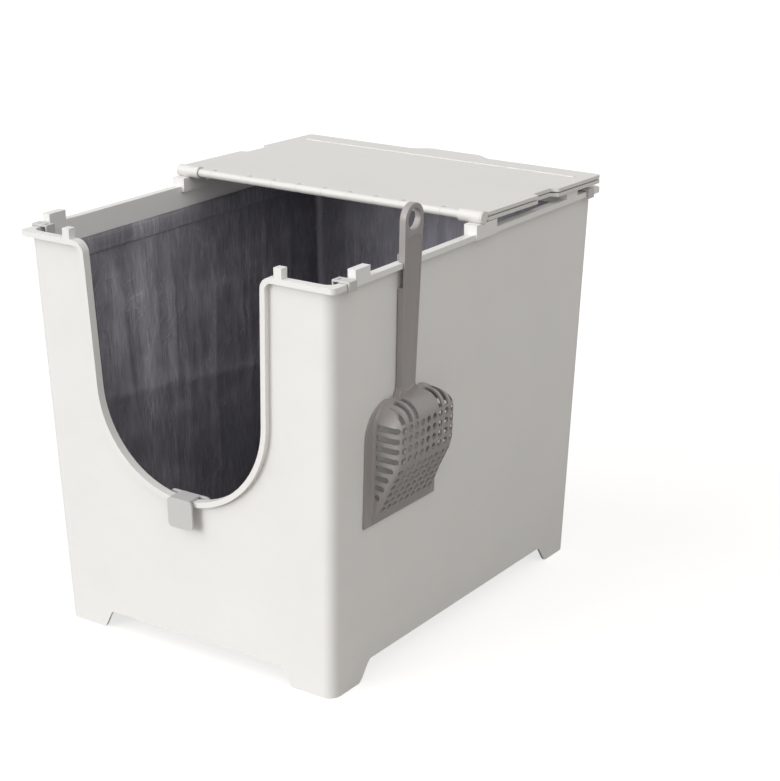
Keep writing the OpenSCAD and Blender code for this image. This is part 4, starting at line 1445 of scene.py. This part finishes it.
    def dome_slot(self, y: float, low: float) -> bpy.types.Object:
        """A slot cutter that runs over the dome in the plane of one y."""
        s = self.s
        x, z = s.out - s.dome, s.head_top - s.dome
        turns = [math.radians(d) for d in (-6, 10, 25, 40, 55, 70, 84, 96)]
        outer, inner = (
            [(x + (s.dome + grow) * math.cos(t), z + (s.dome + grow) * math.sin(t)) for t in turns]
            for grow in (3 * MM, -5 * MM)
        )
        plan = [(px, max(pz, low)) for px, pz in outer + inner[::-1]]
        slot = prism(self.without_repeats(plan), y - s.slot / 2, y + s.slot / 2)
        return placed(slot, plan_on_xz())

    @staticmethod
    def without_repeats(plan: Points) -> Points:
        """The same outline without points that fall on each other."""
        return [p for i, p in enumerate(plan) if math.dist(p, plan[i - 1]) > 0.01 * MM]

    def handle_plan(self, inset: float, top: float, low: float) -> Points:
        """The handle's outline as (y, z), drawn in by inset."""
        s = self.s
        centre = s.top - s.top_r
        r = s.top_r - inset
        arc = [(r * math.cos(t), centre + r * math.sin(t)) for t in np.linspace(0, math.pi, 33)]
        if top < s.top:
            arc = [(r, top - 6 * MM), (r - 2 * MM, top - 1.5 * MM)]
            arc += [(0, top)] + [(-y, z) for y, z in reversed(arc)]
        neck, half = s.head_top + 9 * MM, s.low_r - inset
        if inset > 0:
            flare = [(neck, half), (neck - 4 * MM, half - 2 * MM), (neck - 6 * MM, 0.001 * MM)]
        else:
            flare = s_run((neck, half), (low, s.low_r + 5 * MM - inset), 8)
        right = [(y, z) for z, y in flare]
        left = [(-y, z) for y, z in (right[:-1] if inset > 0 else right)]
        return [(float(y), float(z)) for y, z in arc + left + right[::-1]]

    def handle(self) -> bpy.types.Object:
        """The handle with its loop, recessed face, rim notch and hook."""
        s = self.s

        def stand(plan: Points, x0: float, x1: float) -> bpy.types.Object:
            """A plan of (y, z) stood up between two x."""
            return placed(prism(plan, x0, x1), plan_on_yz())

        over, wide = 1 * MM, 20 * MM
        low = s.head_top - 3 * MM
        body = stand(self.handle_plan(0, s.top, low), -s.handle, 0)
        carve(body, stand(circle(s.loop_r, (0, s.top - s.top_r), 64), -s.handle - over, over))
        panel = self.handle_plan(2.8 * MM, s.top - 2 * s.top_r - 1 * MM, low)
        carve(body, stand(panel, -0.8 * MM, 2 * over))
        carve(body, block((-s.handle - over, -wide, -s.notch), (-s.web, wide, s.seat)))
        hook = self.at_x - self.bin.width / 2 + self.bin.wall + 2 * MM
        far, half = -hook - s.hook_t, s.hook_half
        bridge = block((far, -half, s.seat), (-s.web, half, s.bridge_top))
        leg = block((far, -half, -s.hook_drop), (-hook, half, 2 * over))
        carve(bridge, leg, "UNION")
        carve(body, bridge, "UNION")
        return round_edges(tidy(body), lambda a, b, out: (0.9 if out else 0.6) * MM, 3, 30)

    def build(self, tool: NodeTool) -> list[bpy.types.Object]:
        """Makes the scoop as one piece."""
        head = self.head()
        for cutter in self.punches(tool):
            carve(head, cutter)
        carve(head, self.handle(), "UNION")
        head.name = "scoop_body"
        smooth(tidy(placed(head, self.matrix), 1e-5, 0.3), 32)
        return [finish_piece(head, "scoop", Finish.SCOOP, ["scoop"])]


# ------------------------------------------------------------------- studio


@dataclass(frozen=True)
class Lamp:
    """A soft distant lamp that shines along a direction."""

    name: str
    strength: float
    toward: tuple[float, float, float]
    spread: float
    colour: Colour = (1.0, 1.0, 1.0)

    def hang(self) -> None:
        """Adds the lamp to the scene."""
        data = bpy.data.lights.new(self.name, "SUN")
        data.energy = self.strength
        data.angle = math.radians(self.spread)
        data.color = self.colour
        lamp = bpy.data.objects.new(self.name, data)
        lamp.rotation_mode = "QUATERNION"
        lamp.rotation_quaternion = Vector(self.toward).to_track_quat("-Z", "Y")
        bpy.context.scene.collection.objects.link(lamp)


@dataclass
class Studio:
    """The plain pale floor, the soft light and the camera."""

    eye: tuple[float, float, float] = (1.2576, -1.7108, 0.9616)
    pitch: float = 71.14
    yaw: float = 34.319
    lens: float = 90.171
    lamps: tuple[Lamp, ...] = (
        Lamp("key_lamp", 1.05, (0.50, 0.55, -0.67), 50),
        Lamp("low_front_lamp", 1.54, (0.33, 0.90, -0.26), 30),
        Lamp("side_fill_lamp", 0.90, (-0.62, 0.30, -0.62), 60, (1.0, 0.975, 0.935)),
    )
    sky: float = 0.36
    floor_half: float = 9.0
    floor_glow: float = 0.73
    floor_colour: Colour = (0.38, 0.369, 0.352)

    def world(self) -> None:
        """A pale sky that the camera, gloss and clear surfaces see as white."""
        world = bpy.data.worlds.new("studio")
        bpy.context.scene.world = world
        world.use_nodes = True
        tree = world.node_tree
        back = tree.nodes["Background"]
        back.inputs["Color"].default_value = (1, 1, 1, 1)
        rays = tree.nodes.new("ShaderNodeLightPath")
        pick = tree.nodes.new("ShaderNodeMix")
        pick.inputs[2].default_value = self.sky
        pick.inputs[3].default_value = 1.0
        seen = rays.outputs["Is Camera Ray"]
        for name in ("Is Glossy Ray", "Is Transmission Ray"):
            both = tree.nodes.new("ShaderNodeMath")
            both.operation = "MAXIMUM"
            tree.links.new(seen, both.inputs[0])
            tree.links.new(rays.outputs[name], both.inputs[1])
            seen = both.outputs[0]
        tree.links.new(seen, pick.inputs[0])
        tree.links.new(pick.outputs[0], back.inputs["Strength"])

    def floor(self) -> None:
        """A white floor that keeps the object's shadow."""
        h = self.floor_half
        ground = from_data("floor", [(-h, -h, 0), (h, -h, 0), (h, h, 0), (-h, h, 0)], [(0, 1, 2, 3)])
        g = Graph("floor_white")
        rays = g.add("ShaderNodeLightPath")
        g.surface(
            Base_Color=(*self.floor_colour, 1), Roughness=0.9, Emission_Color=(1, 1, 1, 1),
            Emission_Strength=rays * self.floor_glow,
        )
        ground.data.materials.append(g.material)
        ground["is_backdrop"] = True

    def camera(self, centre: Vector) -> None:
        """The camera at the photograph's place."""
        data = bpy.data.cameras.new("camera")
        data.lens = self.lens
        data.sensor_width = 36.0
        data.clip_end = 50
        cam = bpy.data.objects.new("camera", data)
        cam.location = Vector(self.eye) + centre
        cam.rotation_euler = (math.radians(self.pitch), 0, math.radians(self.yaw))
        bpy.context.scene.collection.objects.link(cam)
        bpy.context.scene.camera = cam

    def build(self, centre: Vector) -> None:
        """Sets the whole studio up."""
        bpy.context.scene.view_settings.view_transform = "Standard"
        self.world()
        self.floor()
        for lamp in self.lamps:
            lamp.hang()
        self.camera(centre)


def main() -> None:
    """Builds every sub-assembly in order and reports each piece."""
    logging.basicConfig(level=logging.INFO, format="%(name)s: %(message)s")
    sizes = BinSizes()
    Studio().build(sizes.centre)
    stitches, punches = stitch_tool(), punch_tool()
    parts = [
        *BinShell(sizes).build(),
        *Liner(sizes, LinerSizes()).build(stitches),
        *Clips().build(),
        *Lid(sizes).build(),
        *Scoop(ScoopSizes(), sizes).build(punches),
    ]
    LOG.info("%d pieces", len(parts))
    boxes = {"cad": CAD_BOX, "visual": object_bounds()}
    {name: [list(corner) for corner in box] for name, box in boxes.items()}


if __name__ == "__main__":
    main()
